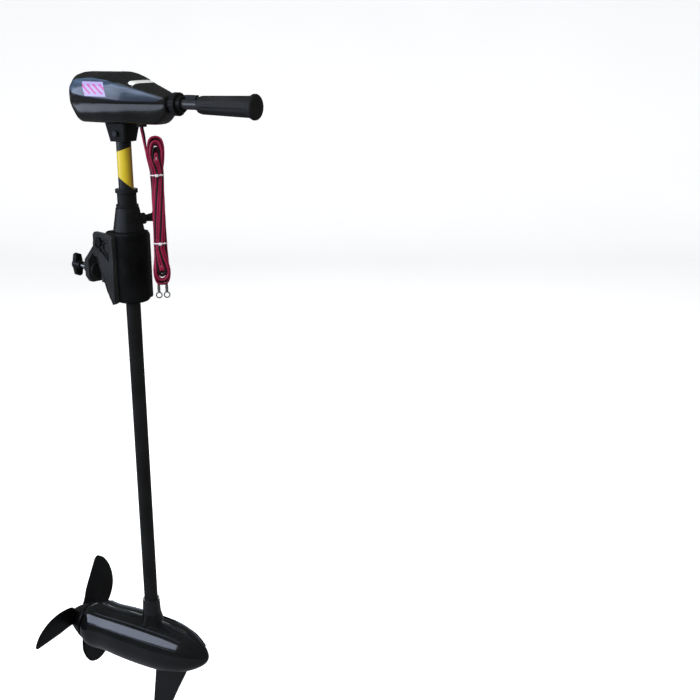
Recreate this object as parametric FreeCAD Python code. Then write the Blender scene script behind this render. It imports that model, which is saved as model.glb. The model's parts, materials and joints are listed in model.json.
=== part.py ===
"""Transom-mounted electric trolling motor, hand steered.

Frame: millimetres, +Z up along the shaft, -Y outboard, +Y into the boat, +X to starboard of the clamp.
Origin: the middle of the clamp's seat, where it rests on the top edge of the transom.
The steered parts are drawn with their nose along +X and their shaft on the Z axis, then swung into place.
"""
import FreeCAD
import Part
import math
import os

from FreeCAD import Vector

os.makedirs("parts", exist_ok=True)

# ---- Driving dimensions -------------------------------------------------------------------------------
TRANSOM_GAP = 44.0          # clear space for the transom board
SHAFT_Y = -75.0             # the steering axis stands this far outboard of the seat's middle
STEER_REST = -73.0          # heading of the nose at rest, degrees from +X seen from above
TILT_Y = -36.0              # tilt pin
TILT_Z = 32.0

SHAFT_R = 14.25             # composite tube, 28.5 mm
SHAFT_BORE_R = 11.8
LABEL_R = 14.30
RUN_R = 14.34               # bore of every bush and collar that the shaft turns or slides in

COLUMN_R = 34.5             # tilting column, round in front
COLUMN_BOTTOM = -86.0
COLUMN_TOP = 54.0
SLEEVE_TOP = 98.0
COLLAR_TOP = 134.0
CHEEK_IN = 35.0             # cheeks of the clamp, inner and outer faces
CHEEK_OUT = 43.0

TENSION_Z = 73.0            # axis of the steering tension knob
COLLAR_EARS = -61.0         # the depth collar's ears are turned this far from dead astern

SCREW_X = 24.0              # the two clamp screws stand either side of the middle
SCREW_Z = -34.0
SCREW_R = 5.0
PAD_FACE_Y = 8.0            # the pads' faces, with the clamp opened a little

YOKE_BOTTOM = 224.0
YOKE_BOLT_Z = 239.0
HEAD_BOTTOM = 258.0
SEAM_Z = 296.0              # joint between the head's lower housing and its cover
HANDLE_Z = 296.0            # axis of the telescoping handle
NOSE_END = 117.0            # front of the head, ahead of the steering axis
BOSS_END = 146.0
TUBE_R = 9.2                # telescoping handle tube
GRIP_START = 182.0
GRIP_END = 305.0
BOSS_R = 14.5               # the head's nose and the liner inside it
BUSH_R = 11.5
HEAD_WALL = 3.0
COVER_SCREWS = [(-62, 21), (-62, -21), (84, 17), (84, -17)]
METER_X = 50.0              # middle of the battery meter on the cover's front slope
METER_LENGTH = 20.0         # the meter's window lies across the slope
METER_WIDTH = 58.0

MOTOR_Z = -852.0            # axis of the motor and the propeller
SOCKET_TOP = -746.0         # top of the casing's shaft socket
CAVITY_R = 40.0
REAR_JOINT = -60.0          # where the rear casing meets the centre casing
NOSE_JOINT = 88.0           # where the nose cone meets the centre casing
REAR_END = -174.0
PROP_SHAFT_R = 5.0
PIN_S = -188.0              # drive pin, along the propeller shaft
HUB_FRONT = -176.5
HUB_REAR = -227.0
BLADES = 3
BLADE_S = -208.0            # the blades' straight edges stand here along the shaft
BLADE_ROOT_R = 22.0
BLADE_TIP_R = 141.5
BLADE_REST = -29.3          # the first blade leans this far to the left of upright at rest

CABLE_REACH = 76.0          # the coiled cable hangs this far ahead of the steering axis
CABLE_EXIT = 46.0
CABLE_TURN = 41.0           # the coil's flat side is turned this far from the nose's heading
TIE_HEIGHTS = (36.0, 165.0)

# ---- Outlines of the moulded forms --------------------------------------------------------------------
# Head: side view (x, z), half of the section across it (y, z) and half of the plan (x, y).
HEAD_SIDE = [(-76, 258), (-94, 290), (-103, 323), (-92, 340), (-64, 350), (14, 352), (62, 333),
             (106, 317), (NOSE_END, 310), (NOSE_END, 281), (110, 268), (96, 258)]
HEAD_SECTION = [(31, 256), (42, 270), (47, 288), (48, SEAM_Z), (47, 306), (41, 330), (31, 354)]
HEAD_PLAN = [(-103, 22), (-94, 33), (-62, 43), (-12, 47), (34, 44), (82, 31), (NOSE_END, 20)]
PANEL_SIDE = [(-97, 312), (-99, 324), (-80, 340), (4, 338), (74, 320), (112, 309),
              (112, 301), (40, 300), (-8, 304)]
# Motor pod: (x, radius) from the propeller's end to the nose.
POD_PROFILE = [(REAR_END, 39), (-170, 46), (-160, 51.5), (-148, 53.5), (-128, 52), (-90, 53), (-40, 55),
               (20, 54.5), (60, 51), (NOSE_JOINT, 43.5), (114, 31), (132, 19), (141, 9.5), (145, 0)]
# Skeg: (x, height from the motor's axis).
SKEG_SIDE = [(6, -46), (-8, -150), (-12, -174), (-4, -184), (10, -186), (24, -180), (42, -140),
             (62, -98), (92, -38)]
# Propeller hub: (x, radius).
HUB_PROFILE = [(HUB_REAR, 15), (HUB_REAR + 3, 19), (-214, 26), (-200, 33.5), (-188, 39.5),
               (-179, 43), (HUB_FRONT, 42)]
# Blade: (radius, straight edge, curved edge), both measured across the blade.
BLADE_PLAN = [(BLADE_ROOT_R, -4, 32), (40, -6, 53), (56, -8, 60), (72, -9, 61), (88, -9, 59), (104, -9, 53),
              (118, -9, 44), (130, -9, 32), (138, -7, 19), (BLADE_TIP_R, -3, 6)]
# Coiled cable: (x, z) outline and half of its depth.
BUNDLE_SIDE = [(-8, 238), (-19, 224), (-14, 190), (-11, 150), (-11, 30), (-18, -18), (-14, -46),
               (14, -46), (18, -18), (11, 30), (11, 150), (14, 190), (19, 224), (8, 238)]
BUNDLE_HALF_DEPTH = 10.0

X_AXIS = Vector(1, 0, 0)
Y_AXIS = Vector(0, 1, 0)
Z_AXIS = Vector(0, 0, 1)


# ---- Helpers ------------------------------------------------------------------------------------------
def rod(radius, start, end):
    """A round bar from one point to another."""
    start = Vector(*start)
    along = Vector(*end) - start
    return Part.makeCylinder(radius, along.Length, start, along)


def pipe(outer, inner, start, end):
    """A round tube from one point to another."""
    return rod(outer, start, end).cut(rod(inner, start, end))


def block(low, high):
    """A box between two corners."""
    size = Vector(*high) - Vector(*low)
    return Part.makeBox(size.x, size.y, size.z, Vector(*low))


def centred(length, width, low, high):
    """A box centred on the Z axis, between two heights."""
    return block((-length / 2, -width / 2, low), (length / 2, width / 2, high))


def face(points):
    """A flat face with straight edges through the points."""
    corners = [Vector(*p) for p in points]
    return Part.Face(Part.makePolygon(corners + corners[:1]))


def side_plate(outline, x_low, x_high):
    """A plate across X from a (y, z) outline."""
    return face([(x_low, y, z) for y, z in outline]).extrude(Vector(x_high - x_low, 0, 0))


def across_plate(outline, y_low, y_high):
    """A plate across Y from an (x, z) outline."""
    return face([(x, y_low, z) for x, z in outline]).extrude(Vector(0, y_high - y_low, 0))


def flat_plate(outline, z_low, z_high):
    """A plate across Z from an (x, y) outline."""
    return face([(x, y, z_low) for x, y in outline]).extrude(Vector(0, 0, z_high - z_low))


def turned(profile, height):
    """A solid turned about the line z = height that runs along X, from (x, radius) points."""
    ends = [(profile[-1][0], 0.0), (profile[0][0], 0.0)]
    outline = [p for p in profile if p[1] > 0] + ends
    section = face([(x, 0, height + r) for x, r in outline])
    return section.revolve(Vector(0, 0, height), X_AXIS, 360)


def smooth_turned(profile, height):
    """As turned, with a smooth curve through the profile's points."""
    curve = Part.BSplineCurve()
    curve.interpolate([Vector(x, 0, height + r) for x, r in profile])
    first = Vector(profile[0][0], 0, height)
    last = Vector(profile[-1][0], 0, height)
    edges = [curve.toShape()]
    if profile[-1][1] > 0:
        edges.append(Part.makeLine(curve.EndPoint, last))
    edges.append(Part.makeLine(last, first))
    if profile[0][1] > 0:
        edges.append(Part.makeLine(first, curve.StartPoint))
    return Part.Face(Part.Wire(edges)).revolve(Vector(0, 0, height), X_AXIS, 360)


def joined(*shapes):
    """One solid from overlapping or touching shapes."""
    return shapes[0].fuse(list(shapes[1:])).removeSplitter()


def rounded(shape, radius, chosen):
    """The shape with the chosen edges rounded."""
    return shape.makeFillet(radius, [e for e in shape.Edges if chosen(e)])


def along_z(edge):
    """True for a straight edge that runs up and down."""
    a, b = edge.Vertexes[0].Point, edge.Vertexes[-1].Point
    return len(edge.Vertexes) == 2 and abs(a.x - b.x) < 1e-6 and abs(a.y - b.y) < 1e-6


def steered(shape):
    """Swings a shape drawn with its nose along +X into its place on the steering axis."""
    placed = shape.copy()
    placed.rotate(Vector(0, 0, 0), Z_AXIS, STEER_REST)
    placed.translate(Vector(0, SHAFT_Y, 0))
    return placed


def save(name, *solids):
    """Writes one sub-part, as one solid or a group of separate solids."""
    pieces = [s for shape in solids for s in shape.Solids]
    whole = pieces[0] if len(pieces) == 1 else Part.makeCompound(pieces)
    whole.exportStep("parts/" + name + ".step")


def save_steered(name, *solids):
    """Writes one sub-part of the steered unit."""
    save(name, *[steered(s) for s in solids])


# ---- Transom clamp ------------------------------------------------------------------------------------
def clamp_frame():
    """Two cheeks, a bridge over the transom, an outboard plate and an inboard leg for the screws."""
    half_gap = TRANSOM_GAP / 2
    bridge_top = 18.0
    cheek = [(SHAFT_Y - 6, 44), (SHAFT_Y, 49), (-18, 49), (-12, 43), (-12, 0), (-half_gap, 0),
             (-54, -67), (-70, -89), (SHAFT_Y - 6, -84)]
    window = [(-66, 39), (-22, 39), (-18, 35), (-18, 20), (-66, -4)]
    frame = []
    for inner, outer, skin in ((-CHEEK_IN, -CHEEK_OUT, -39), (CHEEK_IN, CHEEK_OUT, 39)):
        plate = side_plate(cheek, min(inner, outer), max(inner, outer))
        plate = plate.cut(side_plate(window, min(skin, outer), max(skin, outer)))
        frame.append(plate)
    bridge = [(-CHEEK_OUT, -34), (CHEEK_OUT, -34), (CHEEK_OUT, -12), (16, 36), (-16, 36),
              (-CHEEK_OUT, -12)]
    frame.append(flat_plate(bridge, 0, bridge_top))
    frame.append(block((-CHEEK_IN, -34, -52), (CHEEK_IN, -half_gap, 0)))
    leg = [(-16, 10), (16, 10), (25, -1), (37, -15), (37, -48), (30, -60),
           (-30, -60), (-37, -48), (-37, -15), (-25, -1)]
    frame.append(across_plate(leg, half_gap, 36))
    frame.append(block((-3, 36, -56), (3, 42, 10)))
    body = joined(*frame)
    for x in (-SCREW_X, SCREW_X):
        body = body.fuse(rod(11, (x, 30, SCREW_Z), (x, 44, SCREW_Z)))
        body = body.cut(rod(7.5, (x, half_gap, SCREW_Z), (x, 44, SCREW_Z)))
    for x in (-CHEEK_OUT, CHEEK_IN):
        body = body.fuse(rod(10, (x, TILT_Y, TILT_Z), (x + 8, TILT_Y, TILT_Z)))
    body = body.cut(rod(5.0, (-60, TILT_Y, TILT_Z), (60, TILT_Y, TILT_Z)))
    return body.removeSplitter()


def thread_bushes():
    """Brass bushes that carry the clamp screws' threads."""
    bushes = []
    for x in (-SCREW_X, SCREW_X):
        base = (x, TRANSOM_GAP / 2, SCREW_Z)
        bushes.append(pipe(7.5, SCREW_R + 0.06, base, (x, 44, SCREW_Z)))
    return bushes


def transom_pad():
    """Rubber facing on the outboard plate."""
    return block((-28, -TRANSOM_GAP / 2, -48), (28, -TRANSOM_GAP / 2 + 2, -4))


def tilt_pin():
    """The pin that the column tilts on, with a head on its left end."""
    head = rod(8.5, (-47, TILT_Y, TILT_Z), (-43, TILT_Y, TILT_Z))
    return joined(head, rod(4.95, (-43, TILT_Y, TILT_Z), (62, TILT_Y, TILT_Z)))


def tilt_lock_lever():
    """Cam lever on the right end of the tilt pin."""
    hub = rod(10, (43.5, TILT_Y, TILT_Z), (55, TILT_Y, TILT_Z))
    arm = block((46.5, TILT_Y - 5, TILT_Z - 52), (52, TILT_Y + 5, TILT_Z))
    tip = rod(7, (45.5, TILT_Y, TILT_Z - 52), (53, TILT_Y, TILT_Z - 52))
    lever = joined(hub, arm, tip)
    return lever.cut(rod(5.0, (40, TILT_Y, TILT_Z), (70, TILT_Y, TILT_Z)))


def tilt_pin_nut():
    """Lock nut outside the lever."""
    corners = []
    for k in range(6):
        angle = math.radians(60 * k)
        corners.append((TILT_Y + 8.5 * math.cos(angle), TILT_Z + 8.5 * math.sin(angle)))
    nut = side_plate(corners, 55.5, 61)
    return nut.cut(rod(4.95, (50, TILT_Y, TILT_Z), (70, TILT_Y, TILT_Z)))


# ---- Tilting column -----------------------------------------------------------------------------------
def tilt_bracket():
    """The column that the shaft passes through, round in front, with the tilt barrel behind."""
    rear = TILT_Y - 9
    round_front = rod(COLUMN_R, (0, SHAFT_Y, COLUMN_BOTTOM), (0, SHAFT_Y, COLUMN_TOP))
    back = block((-COLUMN_R, SHAFT_Y, COLUMN_BOTTOM), (COLUMN_R, rear, COLUMN_TOP))
    column = joined(round_front, back)
    column = rounded(column, 7, lambda e: e.BoundBox.ZLength < 0.01)
    barrel = rod(12, (-34.5, TILT_Y, TILT_Z), (34.5, TILT_Y, TILT_Z))
    web = block((-34.5, rear - 6, TILT_Z - 12), (34.5, TILT_Y, TILT_Z + 12))
    body = joined(column, barrel, web)
    body = body.cut(rod(5.02, (-40, TILT_Y, TILT_Z), (40, TILT_Y, TILT_Z)))
    body = body.cut(rod(18, (0, SHAFT_Y, COLUMN_BOTTOM - 1), (0, SHAFT_Y, COLUMN_TOP + 1)))
    return body


def steering_sleeve():
    """The tapered tube on top of the column, with the boss for the tension screw."""
    cone = Part.makeCone(30, 22.5, SLEEVE_TOP - COLUMN_TOP, Vector(0, SHAFT_Y, COLUMN_TOP), Z_AXIS)
    boss = rod(11, (16, SHAFT_Y, TENSION_Z), (36, SHAFT_Y, TENSION_Z))
    body = joined(cone, boss)
    body = body.cut(rod(18, (0, SHAFT_Y, COLUMN_TOP - 1), (0, SHAFT_Y, SLEEVE_TOP + 1)))
    body = body.cut(rod(8.1, (10, SHAFT_Y, TENSION_Z), (27, SHAFT_Y, TENSION_Z)))
    return body.cut(rod(4.06, (20, SHAFT_Y, TENSION_Z), (40, SHAFT_Y, TENSION_Z)))


def steering_bushes():
    """Plastic liners for the shaft: one in the column's foot and one through the sleeve."""
    lower = pipe(18, RUN_R, (0, SHAFT_Y, COLUMN_BOTTOM), (0, SHAFT_Y, -40))
    upper = pipe(18, RUN_R, (0, SHAFT_Y, 20), (0, SHAFT_Y, SLEEVE_TOP))
    upper = upper.cut(rod(8.1, (5, SHAFT_Y, TENSION_Z), (27, SHAFT_Y, TENSION_Z)))
    return lower, upper


def brake_pad():
    """The pad that the tension screw presses on the shaft."""
    pad = rod(8.0, (12, SHAFT_Y, TENSION_Z), (19, SHAFT_Y, TENSION_Z))
    return pad.cut(rod(SHAFT_R + 0.12, (0, SHAFT_Y, COLUMN_TOP), (0, SHAFT_Y, SLEEVE_TOP)))


def tension_screw():
    """Threaded stem of the tension knob."""
    stem = rod(4.0, (20, SHAFT_Y, TENSION_Z), (60, SHAFT_Y, TENSION_Z))
    return joined(stem, rod(7, (19.2, SHAFT_Y, TENSION_Z), (21, SHAFT_Y, TENSION_Z)))


def lobed_knob(lobes, radius, dip, thickness):
    """A fluted knob blank that stands on the XY plane."""
    knob = Part.makeCylinder(radius, thickness)
    for k in range(lobes):
        angle = 2 * math.pi * (k + 0.5) / lobes
        centre = Vector(radius * math.cos(angle), radius * math.sin(angle), -1)
        knob = knob.cut(Part.makeCylinder(dip, thickness + 2, centre))
    return knob


def tension_knob():
    """Fluted knob on the right of the sleeve, with a tapered neck."""
    knob = lobed_knob(8, 13.5, 2.6, 15)
    knob.rotate(Vector(0, 0, 0), Y_AXIS, 90)
    knob.translate(Vector(62, SHAFT_Y, TENSION_Z))
    neck = Part.makeCone(6.5, 9.5, 22, Vector(41, SHAFT_Y, TENSION_Z), X_AXIS)
    body = joined(knob, neck)
    return body.cut(rod(4.0, (40, SHAFT_Y, TENSION_Z), (60, SHAFT_Y, TENSION_Z)))


# ---- Clamp screws -------------------------------------------------------------------------------------
def clamp_pad(x):
    """Swivel pad that bears on the inside of the transom."""
    disc = rod(14, (x, PAD_FACE_Y, SCREW_Z), (x, PAD_FACE_Y + 5, SCREW_Z))
    cup = rod(8.5, (x, PAD_FACE_Y + 5, SCREW_Z), (x, PAD_FACE_Y + 8, SCREW_Z))
    return joined(disc, cup).cut(rod(6.06, (x, PAD_FACE_Y + 3, SCREW_Z), (x, PAD_FACE_Y + 9, SCREW_Z)))


def clamp_screw(x):
    """The screw, with a button end that turns in the pad."""
    stem = rod(SCREW_R, (x, PAD_FACE_Y + 6, SCREW_Z), (x, 80, SCREW_Z))
    return joined(stem, rod(6.0, (x, PAD_FACE_Y + 3.1, SCREW_Z), (x, PAD_FACE_Y + 6, SCREW_Z)))


def clamp_handle(x):
    """Moulded wing handle on the outer end of the screw."""
    hub = Part.makeCone(8.5, 11, 22, Vector(x, 70, SCREW_Z), Y_AXIS)
    wing = [(-8, -10), (-6, -21), (0, -23.5), (6, -21), (8, -10),
            (8, 10), (6, 21), (0, 23.5), (-6, 21), (-8, 10)]
    wings = across_plate([(x + u, SCREW_Z + w) for u, w in wing], 80, 92)
    body = joined(hub, wings)
    return body.cut(rod(SCREW_R, (x, 60, SCREW_Z), (x, 80, SCREW_Z)))


# ---- Depth collar -------------------------------------------------------------------------------------
def depth_collar():
    """Split ring that clamps on the shaft and rests on the sleeve."""
    ring = rod(18.5, (0, 0, SLEEVE_TOP + 0.3), (0, 0, COLLAR_TOP))
    flange = rod(21.5, (0, 0, COLLAR_TOP - 7), (0, 0, COLLAR_TOP))
    foot = rod(21.5, (0, 0, SLEEVE_TOP + 0.3), (0, 0, SLEEVE_TOP + 6))
    ears = block((-29, -8, 108), (-14, 8, 124))
    body = joined(ring, flange, foot, ears)
    body = body.cut(rod(RUN_R, (0, 0, 90), (0, 0, 140)))
    body = body.cut(block((-30, -1.2, 90), (-10, 1.2, 140)))
    return body.cut(rod(2.6, (-23.5, -20, 116), (-23.5, 20, 116)))


def collar_screw():
    """Pinch screw through the collar's ears, with a small fluted head."""
    head = lobed_knob(6, 7, 1.6, 7)
    head.rotate(Vector(0, 0, 0), X_AXIS, 90)
    head.translate(Vector(-23.5, -8.3, 116))
    return joined(head, rod(2.5, (-23.5, -8.3, 116), (-23.5, 13, 116)))


def collar_nut():
    """Square nut behind the collar's ears."""
    nut = block((-28, 8, 111.5), (-19, 12, 120.5))
    return nut.cut(rod(2.5, (-23.5, 0, 116), (-23.5, 20, 116)))


# ---- Shaft --------------------------------------------------------------------------------------------
def shaft_tube():
    """Composite shaft, cross-drilled for the yoke bolt."""
    tube = pipe(SHAFT_R, SHAFT_BORE_R, (0, 0, SOCKET_TOP - 36), (0, 0, HEAD_BOTTOM - 4))
    return tube.cut(rod(3.0, (0, -20, YOKE_BOLT_Z), (0, 20, YOKE_BOLT_Z)))


def shaft_label():
    """Thin wrap round the shaft, cut slanting at both ends."""
    sleeve = pipe(LABEL_R, SHAFT_R + 0.01, (0, 0, 120), (0, 0, 226))
    outline = [(-20, 203), (20, 217), (20, 128), (-20, 163)]
    window = across_plate(outline, -30, 30)
    window.rotate(Vector(0, 0, 0), Z_AXIS, CABLE_TURN)
    return sleeve.common(window)


def motor_wires():
    """The two motor leads inside the shaft."""
    return [rod(2.4, (x, 0, SOCKET_TOP - 48), (x, 0, HEAD_BOTTOM + 4)) for x in (-6.5, 6.5)]


# ---- Head ---------------------------------------------------------------------------------------------
def head_form(inset):
    """The head's outer form drawn in by the inset: its side view, plan and cross-section combined."""
    plan_points = HEAD_PLAN + [(s, -y) for s, y in reversed(HEAD_PLAN)]
    section_points = HEAD_SECTION + [(-y, z) for y, z in reversed(HEAD_SECTION)]
    side = face([(s, -80, z) for s, z in HEAD_SIDE])
    plan = face([(s, y, 240) for s, y in plan_points])
    section = face([(-140, y, z) for y, z in section_points])
    if inset:
        side = side.makeOffset2D(-inset)
        plan = plan.makeOffset2D(-inset)
        section = section.makeOffset2D(-inset)
    body = side.extrude(Vector(0, 160, 0)).common(plan.extrude(Vector(0, 0, 140)))
    return body.common(section.extrude(Vector(300, 0, 0)))


def on_slope(shape):
    """Lays a shape drawn round the origin on the cover's front slope, with its Z square to the slope."""
    (x_high, z_high), (x_low, z_low) = HEAD_SIDE[5:7]
    fall = (z_high - z_low) / (x_low - x_high)
    placed = shape.copy()
    placed.rotate(Vector(0, 0, 0), Y_AXIS, math.degrees(math.atan(fall)))
    placed.translate(Vector(METER_X, 0, z_high - (METER_X - x_high) * fall))
    return placed


def head_shells():
    """Lower housing and top cover of the head."""
    outer = head_form(0)
    inner = head_form(HEAD_WALL)
    shell = outer.cut(inner)
    shell = shell.cut(rod(BOSS_R, (90, 0, HANDLE_Z), (NOSE_END + 10, 0, HANDLE_Z)))
    lower = shell.common(block((-150, -90, 240), (160, 90, SEAM_Z)))
    upper = shell.common(block((-150, -90, SEAM_Z), (160, 90, 400)))
    boss = pipe(BOSS_R, BUSH_R, (94, 0, HANDLE_Z), (BOSS_END, 0, HANDLE_Z))
    saddle = block((96, -13, 263), (103, 13, HANDLE_Z))
    saddle = saddle.cut(rod(13, (90, 0, HANDLE_Z), (120, 0, HANDLE_Z)))
    lower = joined(lower, boss, saddle)
    for x, y in COVER_SCREWS:
        lower = lower.fuse(rod(5, (x, y, HEAD_BOTTOM + 2), (x, y, SEAM_Z)))
        upper = upper.fuse(rod(5, (x, y, SEAM_Z), (x, y, 352)).common(outer))
    for x, y in COVER_SCREWS:
        lower = lower.cut(rod(2.1, (x, y, HEAD_BOTTOM - 9), (x, y, SEAM_Z + 1)))
        lower = lower.cut(rod(4.2, (x, y, HEAD_BOTTOM - 9), (x, y, HEAD_BOTTOM + 6)))
        upper = upper.cut(rod(2.0, (x, y, SEAM_Z - 1), (x, y, SEAM_Z + 14)))
    lower = lower.cut(rod(SHAFT_R + 0.01, (0, 0, 250), (0, 0, 270)))
    lower = lower.cut(rod(7.0, (CABLE_EXIT, 0, 250), (CABLE_EXIT, 0, 269)))
    upper = upper.cut(on_slope(centred(METER_LENGTH, METER_WIDTH, -8, 5)))
    return lower.removeSplitter(), upper.removeSplitter()


def head_yoke():
    """Tapered socket under the head that takes the top of the shaft."""
    low = [(-19, -18), (19, -18), (19, 18), (-19, 18)]
    high = [(-25, -23), (25, -23), (25, 23), (-25, 23)]
    wires = []
    for outline, z in ((low, YOKE_BOTTOM), (high, HEAD_BOTTOM)):
        corners = [Vector(x, y, z) for x, y in outline]
        wires.append(Part.makePolygon(corners + corners[:1]))
    body = rounded(Part.makeLoft(wires, True, True), 5, lambda e: e.BoundBox.ZLength > 20)
    body = body.cut(rod(SHAFT_R + 0.01, (0, 0, 220), (0, 0, 270)))
    return body.cut(rod(3.0, (0, -40, YOKE_BOLT_Z), (0, 40, YOKE_BOLT_Z)))


def yoke_bolt():
    """Cross bolt through the yoke and the shaft, and its nut."""
    stem = rod(2.95, (0, -22, YOKE_BOLT_Z), (0, 25, YOKE_BOLT_Z))
    bolt = joined(stem, rod(5.5, (0, -25, YOKE_BOLT_Z), (0, -21.2, YOKE_BOLT_Z)))
    return bolt, pipe(5.5, 2.95, (0, 21.2, YOKE_BOLT_Z), (0, 25, YOKE_BOLT_Z))


def cover_screws():
    """Four screws that hold the cover from below."""
    screws = []
    for x, y in COVER_SCREWS:
        stem = rod(2.0, (x, y, HEAD_BOTTOM + 6), (x, y, SEAM_Z + 13))
        screws.append(joined(stem, rod(4.0, (x, y, HEAD_BOTTOM + 2.5), (x, y, HEAD_BOTTOM + 6))))
    return screws


def meter_window():
    """Clear strip on the cover over the battery meter."""
    return on_slope(centred(METER_LENGTH - 0.2, METER_WIDTH - 0.2, -2.5, 0))


def meter_board():
    """Circuit board of the battery meter with its row of lamps."""
    board = centred(METER_LENGTH - 2, METER_WIDTH - 4, -7, -5.5)
    lamps = [rod(1.4, (0, 6.5 * k, -5.5), (0, 6.5 * k, -4)) for k in range(-3, 4)]
    return on_slope(joined(board, *lamps))


def side_panels():
    """Thin curved trim panels on both sides of the cover."""
    skin = head_form(-0.5).cut(head_form(0))
    return [skin.common(across_plate(PANEL_SIDE, low, high)) for low, high in ((-80, -12), (12, 80))]


def switch_body():
    """Speed switch housing fixed inside the head."""
    body = block((-80, -15.5, HANDLE_Z - 17), (-56, 15.5, HANDLE_Z + 19))
    body = body.cut(rod(14.0, (-77, 0, HANDLE_Z), (-60, 0, HANDLE_Z)))
    return body.cut(rod(5.7, (-61, 0, HANDLE_Z), (-50, 0, HANDLE_Z)))


def switch_rotor():
    """Contact disc with a long hollow square drive that reaches into the handle."""
    disc = rod(13.5, (-76, 0, HANDLE_Z), (-61, 0, HANDLE_Z))
    stem = rod(5.5, (-61, 0, HANDLE_Z), (56, 0, HANDLE_Z))
    return joined(disc, stem).cut(block((-73, -2.6, HANDLE_Z - 2.6), (57, 2.6, HANDLE_Z + 2.6)))


def cable_grommet():
    """Rubber grommet where the battery cable leaves the head."""
    x = CABLE_EXIT
    return joined(pipe(7, 4.5, (x, 0, 255), (x, 0, 262)), pipe(9.5, 4.5, (x, 0, 252.5), (x, 0, 257.5)))


def power_lead():
    """First stretch of the battery cable below the head."""
    end = Vector(CABLE_EXIT, 0, 248)
    return joined(rod(4.5, (CABLE_EXIT, 0, 248), (CABLE_EXIT, 0, 274)), Part.makeSphere(4.5, end))


def nose_bush():
    """Liner that the handle tube slides in."""
    return pipe(BUSH_R, TUBE_R + 0.06, (94, 0, HANDLE_Z), (BOSS_END, 0, HANDLE_Z))


def nose_lock_ring():
    """Knurled ring round the nose that grips the handle tube."""
    ring = lobed_knob(24, 21.2, 1.3, 10)
    ring.rotate(Vector(0, 0, 0), Y_AXIS, 90)
    ring.translate(Vector(127, 0, HANDLE_Z))
    return ring.cut(rod(BOSS_R + 0.06, (120, 0, HANDLE_Z), (140, 0, HANDLE_Z)))


# ---- Handle -------------------------------------------------------------------------------------------
def handle_tube():
    """Telescoping tube between the head and the grip, slotted for its lock button."""
    tube = pipe(TUBE_R, 7.2, (-16, 0, HANDLE_Z), (GRIP_END - 16, 0, HANDLE_Z))
    return tube.cut(block((153, -3.6, HANDLE_Z + 4), (175, 3.6, HANDLE_Z + 12)))


def lock_button():
    """Button on top of the handle tube."""
    pad = rounded(block((151, -4.5, HANDLE_Z + 12.5), (178, 4.5, HANDLE_Z + 17)), 1.5, along_z)
    return joined(pad, block((153.5, -3.4, HANDLE_Z + 8.5), (174.5, 3.4, HANDLE_Z + 13)))


def handle_grip():
    """Twist grip, slightly fatter towards its flanged end."""
    end = GRIP_END
    profile = [(GRIP_START, 15), (GRIP_START + 3, 16.5), (240, 18), (end - 16, 19.2), (end - 9, 19.6),
               (end - 7, 22.7), (end - 2, 22.7), (end, 20)]
    body = turned(profile, HANDLE_Z)
    body = body.cut(rod(TUBE_R + 0.06, (GRIP_START - 5, 0, HANDLE_Z), (end - 15, 0, HANDLE_Z)))
    return body.cut(block((end - 16, -2.52, HANDLE_Z - 2.52), (end - 6, 2.52, HANDLE_Z + 2.52)))


def drive_rod():
    """Square rod that carries the grip's twist back to the switch."""
    return block((-56, -2.5, HANDLE_Z - 2.5), (GRIP_END - 6.5, 2.5, HANDLE_Z + 2.5))


# ---- Motor --------------------------------------------------------------------------------------------
def case_form(grow):
    """The whole motor pod as one turned solid, grown or shrunk all round."""
    profile = [(x, max(r + grow, 0)) for x, r in POD_PROFILE]
    profile[-1] = (POD_PROFILE[-1][0] + grow, 0)
    return smooth_turned(profile, MOTOR_Z)


def between(shape, low, high):
    """The stretch of a shape from one x to another."""
    return shape.common(block((low, -150, MOTOR_Z - 250), (high, 150, MOTOR_Z + 150)))


def case_ribs():
    """Long low ribs on the upper half of the pod that run together at the nose."""
    grown = case_form(2.2)
    ribs = []
    for angle in (-62, -31, 0, 31, 62):
        slab = block((-140, -1.6, MOTOR_Z + 24), (122, 1.6, MOTOR_Z + 60))
        slab.rotate(Vector(0, 0, MOTOR_Z), X_AXIS, angle)
        ribs.append(slab.common(grown))
    return ribs


def skeg():
    """Fin under the pod that guards the propeller's height."""
    fin = across_plate([(x, MOTOR_Z + drop) for x, drop in SKEG_SIDE], -3.5, 3.5)
    return rounded(fin, 2.5, lambda e: e.BoundBox.YLength < 0.01 and e.BoundBox.ZLength > 20)


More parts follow.
